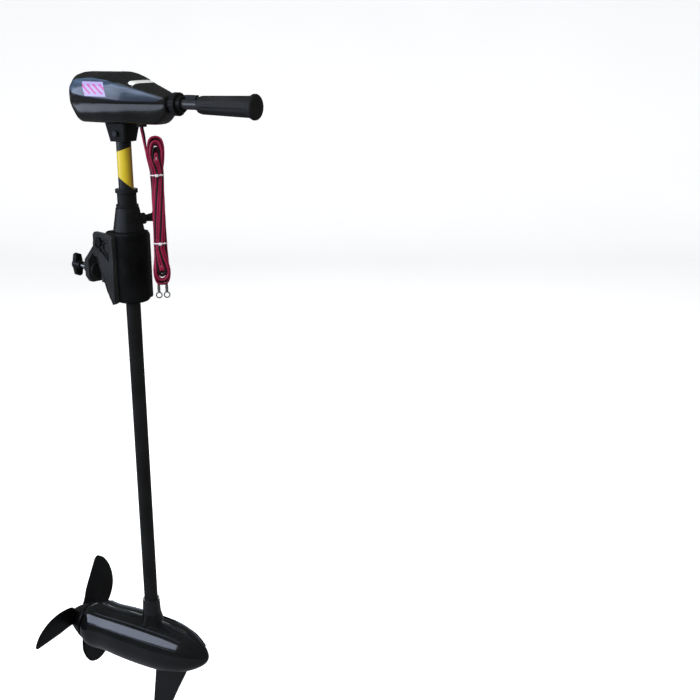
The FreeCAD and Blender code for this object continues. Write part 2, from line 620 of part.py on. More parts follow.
def motor_cases():
    """Centre casing with the shaft socket and skeg, rear casing and nose cone."""
    outer = joined(case_form(0), *case_ribs())
    cavity = rod(CAVITY_R, (-150, 0, MOTOR_Z), (62, 0, MOTOR_Z))
    bore = rod(11, (REAR_END - 5, 0, MOTOR_Z), (-150, 0, MOTOR_Z))
    hollow = outer.cut(cavity).cut(bore)
    socket = Part.makeCone(27, 19.5, 28, Vector(0, 0, MOTOR_Z + 46), Z_AXIS)
    neck = Part.makeCone(19.5, 17.8, SOCKET_TOP - MOTOR_Z - 74, Vector(0, 0, MOTOR_Z + 74), Z_AXIS)
    centre = between(hollow, REAR_JOINT, NOSE_JOINT)
    fin = skeg().cut(rod(CAVITY_R + 2, (-10, 0, MOTOR_Z), (NOSE_JOINT, 0, MOTOR_Z)))
    fin = fin.common(block((-30, -20, MOTOR_Z - 200), (NOSE_JOINT, 20, MOTOR_Z)))
    centre = joined(centre, joined(socket, neck).cut(cavity), fin)
    centre = centre.cut(rod(SHAFT_R + 0.01, (0, 0, SOCKET_TOP - 36), (0, 0, SOCKET_TOP + 10)))
    centre = centre.cut(rod(10, (0, 0, MOTOR_Z + 36), (0, 0, SOCKET_TOP - 30)))
    centre = centre.cut(rod(20, (55, 0, MOTOR_Z), (NOSE_JOINT + 1, 0, MOTOR_Z)))
    rear = between(hollow, REAR_END - 1, REAR_JOINT)
    seat = CAVITY_R - 2
    spigot = pipe(CAVITY_R, seat, (REAR_JOINT, 0, MOTOR_Z), (REAR_JOINT + 6, 0, MOTOR_Z))
    lip = pipe(CAVITY_R + 1, seat, (REAR_JOINT - 8, 0, MOTOR_Z), (REAR_JOINT, 0, MOTOR_Z))
    rear = rear.fuse(spigot.fuse(lip))
    rear = rear.cut(pipe(44.5, 43, (REAR_JOINT - 3, 0, MOTOR_Z), (REAR_JOINT, 0, MOTOR_Z)))
    nose = between(outer, NOSE_JOINT, 150)
    nose = nose.fuse(rod(19.9, (NOSE_JOINT - 8, 0, MOTOR_Z), (NOSE_JOINT + 1, 0, MOTOR_Z)))
    return centre.removeSplitter(), rear.removeSplitter(), nose.removeSplitter()


def magnets():
    """Two arc magnets inside the casing."""
    ring = pipe(37.3, 30, (-50, 0, MOTOR_Z), (30, 0, MOTOR_Z))
    upper = ring.common(block((-60, -60, MOTOR_Z + 8), (60, 60, MOTOR_Z + 60)))
    lower = ring.common(block((-60, -60, MOTOR_Z - 60), (60, 60, MOTOR_Z - 8)))
    return upper, lower


def magnet_ring():
    """Steel flux ring round the magnets."""
    ring = pipe(39.9, 37.35, (-53, 0, MOTOR_Z), (38, 0, MOTOR_Z))
    return ring.cut(rod(10, (0, 0, MOTOR_Z + 30), (0, 0, MOTOR_Z + 50)))


def bearings():
    """Ball bearings at both ends of the armature, as plain rings."""
    front = pipe(13, PROP_SHAFT_R + 0.05, (48, 0, MOTOR_Z), (55, 0, MOTOR_Z))
    rear = pipe(13, PROP_SHAFT_R + 0.05, (-149, 0, MOTOR_Z), (-140, 0, MOTOR_Z))
    return front, rear


def bearing_carriers():
    """Plates that hold the bearings in the casing."""
    front = pipe(39.9, 13, (48, 0, MOTOR_Z), (55, 0, MOTOR_Z))
    rear = pipe(39.9, 13, (-149, 0, MOTOR_Z), (-140, 0, MOTOR_Z))
    return front, rear


def shaft_seals():
    """Lip seals where the propeller shaft leaves the casing."""
    first = pipe(11, PROP_SHAFT_R + 0.05, (-160, 0, MOTOR_Z), (-153, 0, MOTOR_Z))
    second = pipe(11, PROP_SHAFT_R + 0.05, (-169, 0, MOTOR_Z), (-162, 0, MOTOR_Z))
    return first, second


def armature():
    """Wound core, commutator and the propeller shaft they turn on."""
    shaft = rod(PROP_SHAFT_R, (-220, 0, MOTOR_Z), (58, 0, MOTOR_Z))
    core = rod(28, (-44, 0, MOTOR_Z), (26, 0, MOTOR_Z))
    ends = turned([(-56, 14), (-54, 24), (-44, 26), (26, 26), (36, 24), (38, 14)], MOTOR_Z)
    commutator = rod(13, (-84, 0, MOTOR_Z), (-60, 0, MOTOR_Z))
    body = joined(shaft, core, ends, commutator)
    for k in range(12):
        slot = block((-45, -1.5, MOTOR_Z + 26.5), (27, 1.5, MOTOR_Z + 29))
        slot.rotate(Vector(0, 0, MOTOR_Z), X_AXIS, 30 * k)
        body = body.cut(slot)
    return body.cut(rod(2.5, (PIN_S, -10, MOTOR_Z), (PIN_S, 10, MOTOR_Z)))


def brush_holder():
    """Plate that carries the brushes."""
    plate = pipe(35.5, 14.5, (-92, 0, MOTOR_Z), (-86, 0, MOTOR_Z))
    boxes = []
    for side in (-1, 1):
        low, high = sorted((side * 15, side * 34))
        box = block((-86, low, MOTOR_Z - 6), (-62, high, MOTOR_Z + 6))
        boxes.append(box.cut(block((-84, low - 1, MOTOR_Z - 4), (-60, high + 1, MOTOR_Z + 4))))
    return joined(plate, *boxes)


def brushes():
    """Carbon brushes that bear on the commutator."""
    blocks = []
    for side in (-1, 1):
        low, high = sorted((side * 13.1, side * 30))
        blocks.append(block((-83.5, low, MOTOR_Z - 3.8), (-62.5, high, MOTOR_Z + 3.8)))
    return blocks


def o_ring():
    """Seal in the joint between the rear and centre casings, as a flat ring."""
    return pipe(44.4, 43.1, (REAR_JOINT - 2.9, 0, MOTOR_Z), (REAR_JOINT, 0, MOTOR_Z))


# ---- Propeller ----------------------------------------------------------------------------------------
def blade_section(radius, straight, curved):
    """Flat closed section across a blade, from its straight edge to its curved one."""
    share = (radius - BLADE_ROOT_R) / (BLADE_TIP_R - BLADE_ROOT_R)
    thick = 8.0 - 5.8 * share
    pitch = math.radians(22 - 10 * share)
    half = (curved - straight) / 2
    points = []
    for k in range(12):
        angle = 2 * math.pi * k / 12
        across = straight + half + half * math.cos(angle)
        out = 0.5 * thick * math.sin(angle)
        forward = BLADE_S + across * math.sin(pitch) + out * math.cos(pitch)
        sideways = across * math.cos(pitch) - out * math.sin(pitch)
        points.append(Vector(forward, sideways, MOTOR_Z + radius))
    curve = Part.BSplineCurve()
    curve.interpolate(points, True)
    return Part.Wire([curve.toShape()])


def propeller():
    """Broad swept blades on a tapered hub."""
    blade = Part.makeLoft([blade_section(*row) for row in BLADE_PLAN], True, False)
    body = turned(HUB_PROFILE, MOTOR_Z)
    for k in range(BLADES):
        turned_blade = blade.copy()
        turned_blade.rotate(Vector(0, 0, MOTOR_Z), X_AXIS, 360 * k / BLADES)
        body = body.fuse(turned_blade)
    body = body.cut(rod(PROP_SHAFT_R, (HUB_REAR - 5, 0, MOTOR_Z), (HUB_FRONT + 5, 0, MOTOR_Z)))
    body = body.cut(rod(11.5, (-290, 0, MOTOR_Z), (-214, 0, MOTOR_Z)))
    return body.cut(rod(2.5, (PIN_S, -16, MOTOR_Z), (PIN_S, 16, MOTOR_Z)))


def prop_nut():
    """Nut with a wide washer face in the hub's recess."""
    nut = rod(10, (-225, 0, MOTOR_Z), (-214, 0, MOTOR_Z))
    return nut.cut(rod(PROP_SHAFT_R, (-220, 0, MOTOR_Z), (-213, 0, MOTOR_Z)))


def drive_pin():
    """Shear pin between the propeller and its shaft."""
    return rod(2.45, (PIN_S, -15.5, MOTOR_Z), (PIN_S, 15.5, MOTOR_Z))


# ---- Battery cable ------------------------------------------------------------------------------------
def hung(shape):
    """Turns a shape drawn round the Z axis and hangs it at the cable's place beside the shaft."""
    placed = shape.copy()
    placed.rotate(Vector(0, 0, 0), Z_AXIS, CABLE_TURN)
    placed.translate(Vector(CABLE_REACH, 0, 0))
    return placed


def cable_bundle():
    """The coiled battery cable as one plain closed form."""
    return across_plate(BUNDLE_SIDE, -BUNDLE_HALF_DEPTH, BUNDLE_HALF_DEPTH)


def zip_ties():
    """Two ties round the coiled cable, each with its square lock."""
    ties = []
    for z in TIE_HEIGHTS:
        band = block((-14, -11.5, z - 2), (14, 11.5, z + 2)).cut(cable_bundle())
        lock = block((-4, -16, z - 3.5), (3, -11.5, z + 3.5))
        ties.append(joined(band, lock))
    return ties


def ring_terminals():
    """Two crimped ring terminals at the free ends of the cable."""
    terminals = []
    for x in (-7.5, 7.5):
        ring = rod(6.5, (x, -0.8, -66), (x, 0.8, -66))
        barrel = rod(2.8, (x, 0, -61), (x, 0, -46))
        terminals.append(joined(ring, barrel).cut(rod(4.2, (x, -5, -66), (x, 5, -66))))
    return terminals


# ---- Write every sub-part -----------------------------------------------------------------------------
save("clamp_frame", clamp_frame())
save("clamp_bushes", *thread_bushes())
save("transom_pad", transom_pad())
save("tilt_pin", tilt_pin())
save("tilt_pin_nut", tilt_pin_nut())
save("tilt_lock_lever", tilt_lock_lever())
save("tilt_bracket", tilt_bracket())
save("steering_sleeve", steering_sleeve())
save("steering_bushes", *steering_bushes())
save("brake_pad", brake_pad())
save("tension_screw", tension_screw())
save("tension_knob", tension_knob())

for side, screw_x in (("left", -SCREW_X), ("right", SCREW_X)):
    save("clamp_pad_" + side, clamp_pad(screw_x))
    save("clamp_screw_" + side, clamp_screw(screw_x))
    save("clamp_handle_" + side, clamp_handle(screw_x))

for name, shape in (("depth_collar", depth_collar()), ("collar_screw", collar_screw()),
                    ("collar_nut", collar_nut())):
    shape.rotate(Vector(0, 0, 0), Z_AXIS, COLLAR_EARS)
    save_steered(name, shape)

save_steered("shaft_tube", shaft_tube())
save_steered("shaft_label", shaft_label())
save_steered("motor_wires", *motor_wires())

lower_housing, top_cover = head_shells()
save_steered("head_lower_housing", lower_housing)
save_steered("head_top_cover", top_cover)
save_steered("head_yoke", head_yoke())
save_steered("yoke_bolt", *yoke_bolt())
save_steered("cover_screws", *cover_screws())
save_steered("meter_window", meter_window())
save_steered("meter_board", meter_board())
save_steered("side_panels", *side_panels())
save_steered("switch_body", switch_body())
save_steered("switch_rotor", switch_rotor())
save_steered("cable_grommet", cable_grommet())
save_steered("power_lead", power_lead())
save_steered("nose_bush", nose_bush())
save_steered("nose_lock_ring", nose_lock_ring())
save_steered("handle_tube", handle_tube())
save_steered("lock_button", lock_button())
save_steered("handle_grip", handle_grip())
save_steered("drive_rod", drive_rod())

centre_case, rear_case, nose_cone = motor_cases()
save_steered("motor_housing", centre_case)
save_steered("motor_rear_case", rear_case)
save_steered("motor_nose_cone", nose_cone)
save_steered("magnets", *magnets())
save_steered("flux_ring", magnet_ring())
save_steered("bearings", *bearings())
save_steered("bearing_carriers", *bearing_carriers())
save_steered("shaft_seals", *shaft_seals())
save_steered("brush_holder", brush_holder())
save_steered("brushes", *brushes())
save_steered("o_ring", o_ring())

for name, shape in (("armature", armature()), ("propeller", propeller()),
                    ("prop_nut", prop_nut()), ("drive_pin", drive_pin())):
    shape.rotate(Vector(0, 0, MOTOR_Z), X_AXIS, BLADE_REST)
    save_steered(name, shape)

save_steered("cable_bundle", hung(cable_bundle()))
save_steered("zip_ties", *[hung(tie) for tie in zip_ties()])
save_steered("ring_terminals", *[hung(terminal) for terminal in ring_terminals()])
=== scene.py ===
"""Looks of the transom-mounted electric trolling motor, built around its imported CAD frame."""
import json
import math
import random

import bmesh
import bpy
from mathutils import Matrix, Vector


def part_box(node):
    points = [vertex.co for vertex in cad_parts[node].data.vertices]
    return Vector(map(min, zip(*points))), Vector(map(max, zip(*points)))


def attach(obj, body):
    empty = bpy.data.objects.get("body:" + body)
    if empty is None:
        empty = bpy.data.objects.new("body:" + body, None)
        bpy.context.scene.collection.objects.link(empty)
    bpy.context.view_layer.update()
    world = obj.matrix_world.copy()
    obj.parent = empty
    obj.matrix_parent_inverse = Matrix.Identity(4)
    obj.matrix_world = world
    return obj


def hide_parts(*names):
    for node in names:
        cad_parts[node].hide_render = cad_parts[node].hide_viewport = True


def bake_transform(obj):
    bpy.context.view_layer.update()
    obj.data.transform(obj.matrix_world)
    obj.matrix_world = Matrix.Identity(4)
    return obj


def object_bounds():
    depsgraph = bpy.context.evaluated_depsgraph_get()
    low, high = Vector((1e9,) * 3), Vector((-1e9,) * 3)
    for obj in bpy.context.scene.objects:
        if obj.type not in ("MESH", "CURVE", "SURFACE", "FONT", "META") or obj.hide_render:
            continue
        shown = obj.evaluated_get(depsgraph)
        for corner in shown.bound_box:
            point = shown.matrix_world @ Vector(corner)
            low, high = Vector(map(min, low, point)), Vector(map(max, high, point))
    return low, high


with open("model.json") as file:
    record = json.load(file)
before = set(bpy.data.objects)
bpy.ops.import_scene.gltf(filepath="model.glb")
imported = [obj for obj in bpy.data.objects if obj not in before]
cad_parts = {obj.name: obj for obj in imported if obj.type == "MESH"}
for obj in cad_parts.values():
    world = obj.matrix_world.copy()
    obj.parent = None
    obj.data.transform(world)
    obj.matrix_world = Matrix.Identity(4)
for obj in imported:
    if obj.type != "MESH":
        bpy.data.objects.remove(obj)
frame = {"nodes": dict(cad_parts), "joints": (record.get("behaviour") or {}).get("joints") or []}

MM = 0.001
CAD_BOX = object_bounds()

# ---- The steered unit's own directions, read from the frame's joints -----------------------------------
joints = {joint["name"]: joint for joint in frame["joints"]}
NOSE = Vector(joints["throttle_twist"]["axis"]).normalized()
SIDE = Vector((-NOSE.y, NOSE.x, 0.0))
UP = Vector((0.0, 0.0, 1.0))
STEER = Vector(joints["steer"]["pos_m"])
STEER.z = 0.0
HANDLE_Z = joints["throttle_twist"]["pos_m"][2]
MOTOR_Z = joints["prop_spin"]["pos_m"][2]


def at(ahead, aside, height):
    """A point of the steered unit: ahead of and beside the steering axis, and its height."""
    return STEER + NOSE * ahead + SIDE * aside + UP * height


# ---- Materials ------------------------------------------------------------------------------------------
def node_tree(name):
    """A new material, its tree, its shader and its object coordinates."""
    made = bpy.data.materials.new(name)
    made.use_nodes = True
    tree = made.node_tree
    shader = tree.nodes["Principled BSDF"]
    coords = tree.nodes.new("ShaderNodeTexCoord")
    return made, tree, shader, coords.outputs["Object"]


def noise(tree, coords, scale, detail=3.0, stretch=(1, 1, 1)):
    """Noise at a number of features per metre, stretched along the axes."""
    mapping = tree.nodes.new("ShaderNodeMapping")
    mapping.inputs["Scale"].default_value = stretch
    tree.links.new(coords, mapping.inputs["Vector"])
    texture = tree.nodes.new("ShaderNodeTexNoise")
    texture.inputs["Scale"].default_value = scale
    texture.inputs["Detail"].default_value = detail
    tree.links.new(mapping.outputs["Vector"], texture.inputs["Vector"])
    return texture.outputs["Fac"]


def spread(tree, value, low, high, from_low=0.3, from_high=0.7):
    """Maps a value onto a range."""
    ramp = tree.nodes.new("ShaderNodeMapRange")
    ramp.inputs["From Min"].default_value = from_low
    ramp.inputs["From Max"].default_value = from_high
    ramp.inputs["To Min"].default_value = low
    ramp.inputs["To Max"].default_value = high
    tree.links.new(value, ramp.inputs["Value"])
    return ramp.outputs["Result"]


def blend_colour(tree, factor, first, second):
    """Mixes two colours, each a tuple or a socket."""
    mix = tree.nodes.new("ShaderNodeMix")
    mix.data_type = "RGBA"
    if hasattr(factor, "links"):
        tree.links.new(factor, mix.inputs["Factor"])
    else:
        mix.inputs["Factor"].default_value = factor
    for socket, colour in (("A", first), ("B", second)):
        target = [i for i in mix.inputs if i.name == socket and i.type == "RGBA"][0]
        if hasattr(colour, "links"):
            tree.links.new(colour, target)
        else:
            target.default_value = (*colour, 1.0)
    return [o for o in mix.outputs if o.type == "RGBA"][0]


def maths(tree, kind, first, second=0.0):
    """One arithmetic node on sockets or numbers."""
    node = tree.nodes.new("ShaderNodeMath")
    node.operation = kind
    for k, value in enumerate((first, second)):
        if hasattr(value, "links"):
            tree.links.new(value, node.inputs[k])
        else:
            node.inputs[k].default_value = value
    return node.outputs[0]


def near(tree, value, middle, reach):
    """One where a value lies within a reach of a middle, else nought."""
    away = maths(tree, "ABSOLUTE", maths(tree, "SUBTRACT", value, middle))
    return maths(tree, "LESS_THAN", away, reach)


def mark_places(tree):
    """The two coordinates laid on a piece by its own mesh code, and both together."""
    uv = tree.nodes.new("ShaderNodeUVMap")
    uv.uv_map = "marks"
    parts = tree.nodes.new("ShaderNodeSeparateXYZ")
    tree.links.new(uv.outputs["UV"], parts.inputs["Vector"])
    return parts.outputs["X"], parts.outputs["Y"], uv.outputs["UV"]


def add_bump(tree, shader, heights, edge=0.0, strength=1.0):
    """Bumps the surface by (height socket, depth in metres) pairs, over softly rounded edges."""
    normal = None
    if edge:
        bevel = tree.nodes.new("ShaderNodeBevel")
        bevel.samples = 4
        bevel.inputs["Radius"].default_value = edge
        normal = bevel.outputs["Normal"]
    for height, depth in heights:
        bump = tree.nodes.new("ShaderNodeBump")
        bump.inputs["Strength"].default_value = strength
        bump.inputs["Distance"].default_value = depth
        tree.links.new(height, bump.inputs["Height"])
        if normal is not None:
            tree.links.new(normal, bump.inputs["Normal"])
        normal = bump.outputs["Normal"]
    if normal is not None:
        tree.links.new(normal, shader.inputs["Normal"])


def moulded(name, colour, rough, grain=900.0, depth=0.00012, coat=0.0, metal=0.0, mottle=0.35,
            edge=0.0007, stretch=(1, 1, 1), dust=(0.10, 0.10, 0.10), dust_amount=0.03, specular=0.25):
    """A moulded or machined surface: fine grain, uneven gloss, slight mottling and a trace of dust."""
    made, tree, shader, coords = node_tree(name)
    broad = noise(tree, coords, 14.0, 4.0)
    fine = noise(tree, coords, grain, 2.0, stretch)
    specks = noise(tree, coords, 260.0, 6.0)
    darker = tuple(c * (1 - mottle) for c in colour)
    lighter = tuple(min(1.0, c * (1 + mottle) + 0.002) for c in colour)
    base = blend_colour(tree, spread(tree, broad, 0.0, 1.0), darker, lighter)
    dusty = maths(tree, "MULTIPLY", spread(tree, specks, 0.0, 1.0, 0.52, 0.78), dust_amount)
    tree.links.new(blend_colour(tree, dusty, base, dust), shader.inputs["Base Color"])
    uneven = spread(tree, broad, rough * 0.82, min(1.0, rough * 1.25))
    duller = maths(tree, "MULTIPLY", dusty, 0.5)
    tree.links.new(maths(tree, "ADD", uneven, duller), shader.inputs["Roughness"])
    shader.inputs["Metallic"].default_value = metal
    shader.inputs["Specular IOR Level"].default_value = specular
    shader.inputs["Coat Weight"].default_value = coat
    shader.inputs["Coat Roughness"].default_value = 0.06
    add_bump(tree, shader, [(fine, depth), (broad, depth * 3)], edge)
    return made


def glossy(name, colour, rough=0.10, coat=0.7, ripple=0.00035, scratch=0.00003):
    """Gloss paint over plastic: a clear coat with slight ripple and hair scratches."""
    made = moulded(name, colour, rough, grain=700.0, depth=scratch, coat=coat, mottle=0.2, edge=0.0012,
                   dust=(0.16, 0.17, 0.19), dust_amount=0.03)
    tree = made.node_tree
    coords = tree.nodes["Texture Coordinate"].outputs["Object"]
    bump = tree.nodes.new("ShaderNodeBump")
    bump.inputs["Distance"].default_value = ripple
    bump.inputs["Strength"].default_value = 0.6
    tree.links.new(noise(tree, coords, 45.0, 1.0), bump.inputs["Height"])
    tree.links.new(bump.outputs["Normal"], tree.nodes["Principled BSDF"].inputs["Coat Normal"])
    return made


def metal(name, colour, rough, stretch=(1, 1, 1), grain=1400.0):
    """Bare metal with drawn or turned marks."""
    return moulded(name, colour, rough, grain=grain, depth=0.00004, metal=1.0, mottle=0.12, edge=0.0003,
                   stretch=stretch, dust=(0.20, 0.17, 0.13), dust_amount=0.15, specular=0.5)


SATIN = moulded("satin_black", (0.0042, 0.0042, 0.0041), 0.42, specular=0.16)
COARSE = moulded("grained_black", (0.0024, 0.0024, 0.0022), 0.50, grain=520.0, depth=0.00025, specular=0.10)
CHEEK = moulded("cheek_black", (0.0120, 0.0120, 0.0112), 0.46, grain=520.0, depth=0.00025, specular=0.25)
GLOSS = glossy("gloss_black", (0.0032, 0.0036, 0.0038), 0.10, 0.6)
HEAD_GLOSS = glossy("head_gloss", (0.0078, 0.0078, 0.0072), 0.24, 0.15)
SHAFT = moulded("composite_shaft", (0.0050, 0.0050, 0.0047), 0.34, grain=1600.0, stretch=(1, 1, 0.03),
                coat=0.06)
RUBBER = moulded("grip_rubber", (0.0090, 0.0090, 0.0086), 0.62, grain=700.0, depth=0.0002, edge=0.0005)
PAD_RUBBER = moulded("pad_rubber", (0.020, 0.020, 0.020), 0.75, grain=420.0, depth=0.0003)
STEEL = metal("stainless", (0.60, 0.60, 0.58), 0.28, stretch=(1, 1, 0.1))
# Handle tube: a black lightened to grey, partly a painted highlight for the tube's greyish glints.
HIGHLIT_TUBE = moulded("tube_grey_painted_highlight", (0.022, 0.022, 0.024), 0.26, coat=0.3)
DARK_STEEL = metal("blackened_steel", (0.022, 0.022, 0.023), 0.42)
BRASS = metal("brass", (0.70, 0.50, 0.22), 0.30)
BEARING = metal("bearing_steel", (0.68, 0.68, 0.70), 0.16)
ALLOY = metal("cast_alloy", (0.55, 0.55, 0.56), 0.48, grain=500.0)
ZINC = metal("rolled_steel", (0.42, 0.42, 0.44), 0.38)
COPPER = metal("wound_copper", (0.66, 0.30, 0.14), 0.35, stretch=(1, 1, 8), grain=900.0)
TIN = metal("tinned_terminal", (0.72, 0.70, 0.64), 0.30)
FERRITE = moulded("ferrite", (0.050, 0.050, 0.055), 0.60, grain=1200.0)
CARBON = moulded("carbon", (0.028, 0.028, 0.030), 0.45, grain=1500.0)
BOARD = moulded("circuit_board", (0.03, 0.16, 0.07), 0.30, coat=0.4)
PROP = moulded("propeller_plastic", (0.0038, 0.0038, 0.0040), 0.36, grain=600.0, coat=0.05, specular=0.15)
CRIMSON = moulded("crimson_jacket", (0.22, 0.008, 0.036), 0.36, grain=800.0, depth=0.00008, coat=0.1,
                  mottle=0.3, dust_amount=0.05)
BLACK_JACKET = moulded("black_jacket", (0.006, 0.0055, 0.006), 0.38, grain=800.0, coat=0.1)
TIE = moulded("tie_nylon", (0.62, 0.58, 0.57), 0.38, grain=700.0, mottle=0.08, dust_amount=0.12)
LENS = moulded("meter_lens", (0.74, 0.76, 0.76), 0.14, grain=900.0, depth=0.00002, coat=0.6, mottle=0.06)

NODE_LOOKS = {
    "clamp_frame": CHEEK, "clamp_bushes": BRASS, "transom_pad": PAD_RUBBER, "tilt_pin": DARK_STEEL,
    "tilt_pin_nut": DARK_STEEL, "tilt_lock_lever": SATIN, "tilt_bracket": COARSE, "steering_sleeve": SATIN,
    "steering_bushes": SATIN, "brake_pad": PAD_RUBBER, "tension_screw": STEEL, "tension_knob": SATIN,
    "clamp_pad_left": SATIN, "clamp_pad_right": SATIN, "clamp_screw_left": STEEL,
    "clamp_screw_right": STEEL, "clamp_handle_left": SATIN, "clamp_handle_right": SATIN,
    "depth_collar": SATIN, "collar_screw": SATIN, "collar_nut": STEEL, "shaft_tube": SHAFT,
    "shaft_label": SATIN, "motor_wires": CRIMSON, "head_lower_housing": HEAD_GLOSS,
    "head_top_cover": HEAD_GLOSS, "head_yoke": SATIN, "yoke_bolt": DARK_STEEL,
    "cover_screws": STEEL, "meter_window": LENS,
    "meter_board": BOARD, "side_panels": GLOSS, "switch_body": SATIN, "switch_rotor": SATIN,
    "cable_grommet": PAD_RUBBER, "power_lead": BLACK_JACKET, "nose_bush": SATIN, "nose_lock_ring": SATIN,
    "handle_tube": HIGHLIT_TUBE, "lock_button": SATIN, "handle_grip": RUBBER, "drive_rod": STEEL,
    "motor_housing": GLOSS, "motor_rear_case": GLOSS, "motor_nose_cone": GLOSS, "magnets": FERRITE,
    "flux_ring": ZINC, "bearings": BEARING, "bearing_carriers": ALLOY, "shaft_seals": PAD_RUBBER,
    "brush_holder": SATIN, "brushes": CARBON, "o_ring": PAD_RUBBER, "armature": COPPER,
    "propeller": PROP, "prop_nut": STEEL, "drive_pin": STEEL, "cable_bundle": CRIMSON,
    "zip_ties": TIE, "ring_terminals": TIN,
}
for node, look in NODE_LOOKS.items():
    shown = frame["nodes"][node]
    shown.data.materials.clear()
    shown.data.materials.append(look)


# ---- Mesh helpers ---------------------------------------------------------------------------------------
def local(point):
    """World place of a point of the steered unit given in millimetres: ahead, aside, height."""
    return at(point[0] * MM, point[1] * MM, point[2] * MM)


def new_piece(name, mesh, look, body, smooth=True):
    """Links a mesh as a piece that rides on a CAD body."""
    if smooth:
        mesh.shade_smooth()
    made = bpy.data.objects.new(name, mesh)
    bpy.context.scene.collection.objects.link(made)
    made.data.materials.append(look)
    if body:
        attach(made, body)
    return made


def grid_mesh(name, rows, loop=False, caps=False, marks=None):
    """A mesh through rows of points; rows may close on themselves and the ends may be capped."""
    mesh = bpy.data.meshes.new(name)
    build = bmesh.new()
    layer = build.loops.layers.uv.new("marks") if marks else None
    made = [[build.verts.new(p) for p in row] for row in rows]
    places = {}
    for i, row in enumerate(made):
        for k, vert in enumerate(row):
            places[vert] = (i, k)
    count = len(rows[0])
    for first, second in zip(made, made[1:]):
        for k in range(count if loop else count - 1):
            corners = (first[k], first[(k + 1) % count], second[(k + 1) % count], second[k])
            build.faces.new(corners)
    if caps:
        build.faces.new(list(reversed(made[0])))
        build.faces.new(made[-1])
    if marks:
        for face in build.faces:
            for corner in face.loops:
                i, k = places[corner.vert]
                corner[layer].uv = marks[i][k]
    bmesh.ops.remove_doubles(build, verts=build.verts, dist=1e-6)
    bmesh.ops.recalc_face_normals(build, faces=build.faces)
    build.to_mesh(mesh)
    build.free()
    return mesh


def merged(name, meshes, look, body):
    """Several meshes as one piece."""
    build = bmesh.new()
    for mesh in meshes:
        build.from_mesh(mesh)
        bpy.data.meshes.remove(mesh)
    whole = bpy.data.meshes.new(name)
    build.to_mesh(whole)
    build.free()
    return new_piece(name, whole, look, body)


def tube_mesh(name, path, radius, sides=10):
    """A round tube along a path of points."""
    rows = []
    count = len(path)
    normal = Vector((0, 0, 1)).cross(path[1] - path[0])
    if normal.length < 1e-9:
        normal = Vector((1, 0, 0))
    normal.normalize()
    for k, point in enumerate(path):
        before = path[max(0, k - 1)]
        after = path[min(count - 1, k + 1)]
        along = (after - before).normalized()
        normal = (normal - along * normal.dot(along)).normalized()
        across = along.cross(normal)
        turn = [2 * math.pi * j / sides for j in range(sides)]
        rows.append([point + (normal * math.cos(t) + across * math.sin(t)) * radius for t in turn])
    return grid_mesh(name, rows, loop=True, caps=True)


def smoothed(points, place, reach=6.0):
    """Reads a stepped outline (place, value) with its corners eased over a reach."""
    total = 0.0
    shifts = [reach * (k - 4) / 4 for k in range(9)]
    for shift in shifts:
        x = place + shift
        value = points[0][1]
        for (x0, y0), (x1, y1) in zip(points, points[1:]):
            if x >= x1:
                value = y1
            elif x >= x0:
                value = y0 + (y1 - y0) * (x - x0) / (x1 - x0)
                break
        total += value
    return total / len(shifts)


def spline(points, steps):
    """A smooth path through points, each stretch cut into steps."""
    path = []
    ends = [points[0]] + points + [points[-1]]
    for a, b, c, d in zip(ends, ends[1:], ends[2:], ends[3:]):
        for k in range(steps):
            t = k / steps
            path.append(0.5 * (2 * b + (c - a) * t + (2 * a - 5 * b + 4 * c - d) * t * t
                               + (3 * b - a - 3 * c + d) * t * t * t))
    path.append(points[-1])
    return path


# ---- Head -----------------------------------------------------------------------------------------------
# Outlines of the head in millimetres: place along the nose's heading, and height or half width.
HANDLE_MM = HANDLE_Z / MM
SEAM = 296.0
HEAD_TOP = [(-103, 326), (-93, 345), (-72, 351), (14, 352), (62, 331), (106, 316), (117, 310)]
HEAD_FOOT = [(-103, 322), (-94, 290), (-76, 258), (96, 258), (110, 268), (117, 281)]
HEAD_WIDTH = [(-103, 27), (-94, 37), (-62, 44.5), (-12, 47.5), (34, 45), (82, 32), (117, 20)]
FILM_TOP = [(-99, 325), (-84, 338), (-40, 341), (4, 337), (40, 328), (74, 320), (110, 309)]
FILM_FOOT = [(-99, 322), (-94, 312), (-50, 306), (-8, 303), (40, 300), (112, 300.5)]
REAR, FRONT = -103.0, 117.0
REAR_MIDDLE = 323.0           # height on which the rounded rear end closes
REAR_ROUND = 7.0              # length of the rounded rear end
SEAM_GAP = 0.5
FILM_REAR, FILM_FRONT = -98.5, 111.0
FILM_LIFT = 0.55              # the film stands off the case by this, and its edges tuck in by the next
FILM_TUCK = 0.4
LIP = 2.2                     # width of the cover's edge turned in along the seam
TONGUE = 1.2                  # the housing's edge turns in and up behind the seam
TONGUE_RISE = 1.5
HEAD_HALF = 60.0              # more than the head's half width, so the edge closes on the middle


def squareness(place, upper=True):
    """How square the head's section is: squarer on the front slope and underneath."""
    if not upper:
        return 4.2
    share = min(1.0, max(0.0, place / 45.0))
    return 3.0 + 3.0 * share * share * (3 - 2 * share)


def head_limits(place):
    """Half width, roof and floor of the head at a place along it."""
    width = smoothed(HEAD_WIDTH, place, 9)
    top = smoothed(HEAD_TOP, place, 7)
    foot = smoothed(HEAD_FOOT, place, 5)
    close = min(1.0, (place - REAR) / REAR_ROUND)
    ease = math.sqrt(max(0.0, 1 - (1 - close) ** 2))
    high = REAR_MIDDLE + (top - REAR_MIDDLE) * ease
    low = REAR_MIDDLE + (foot - REAR_MIDDLE) * ease
    return width * (0.55 + 0.45 * ease), high, low


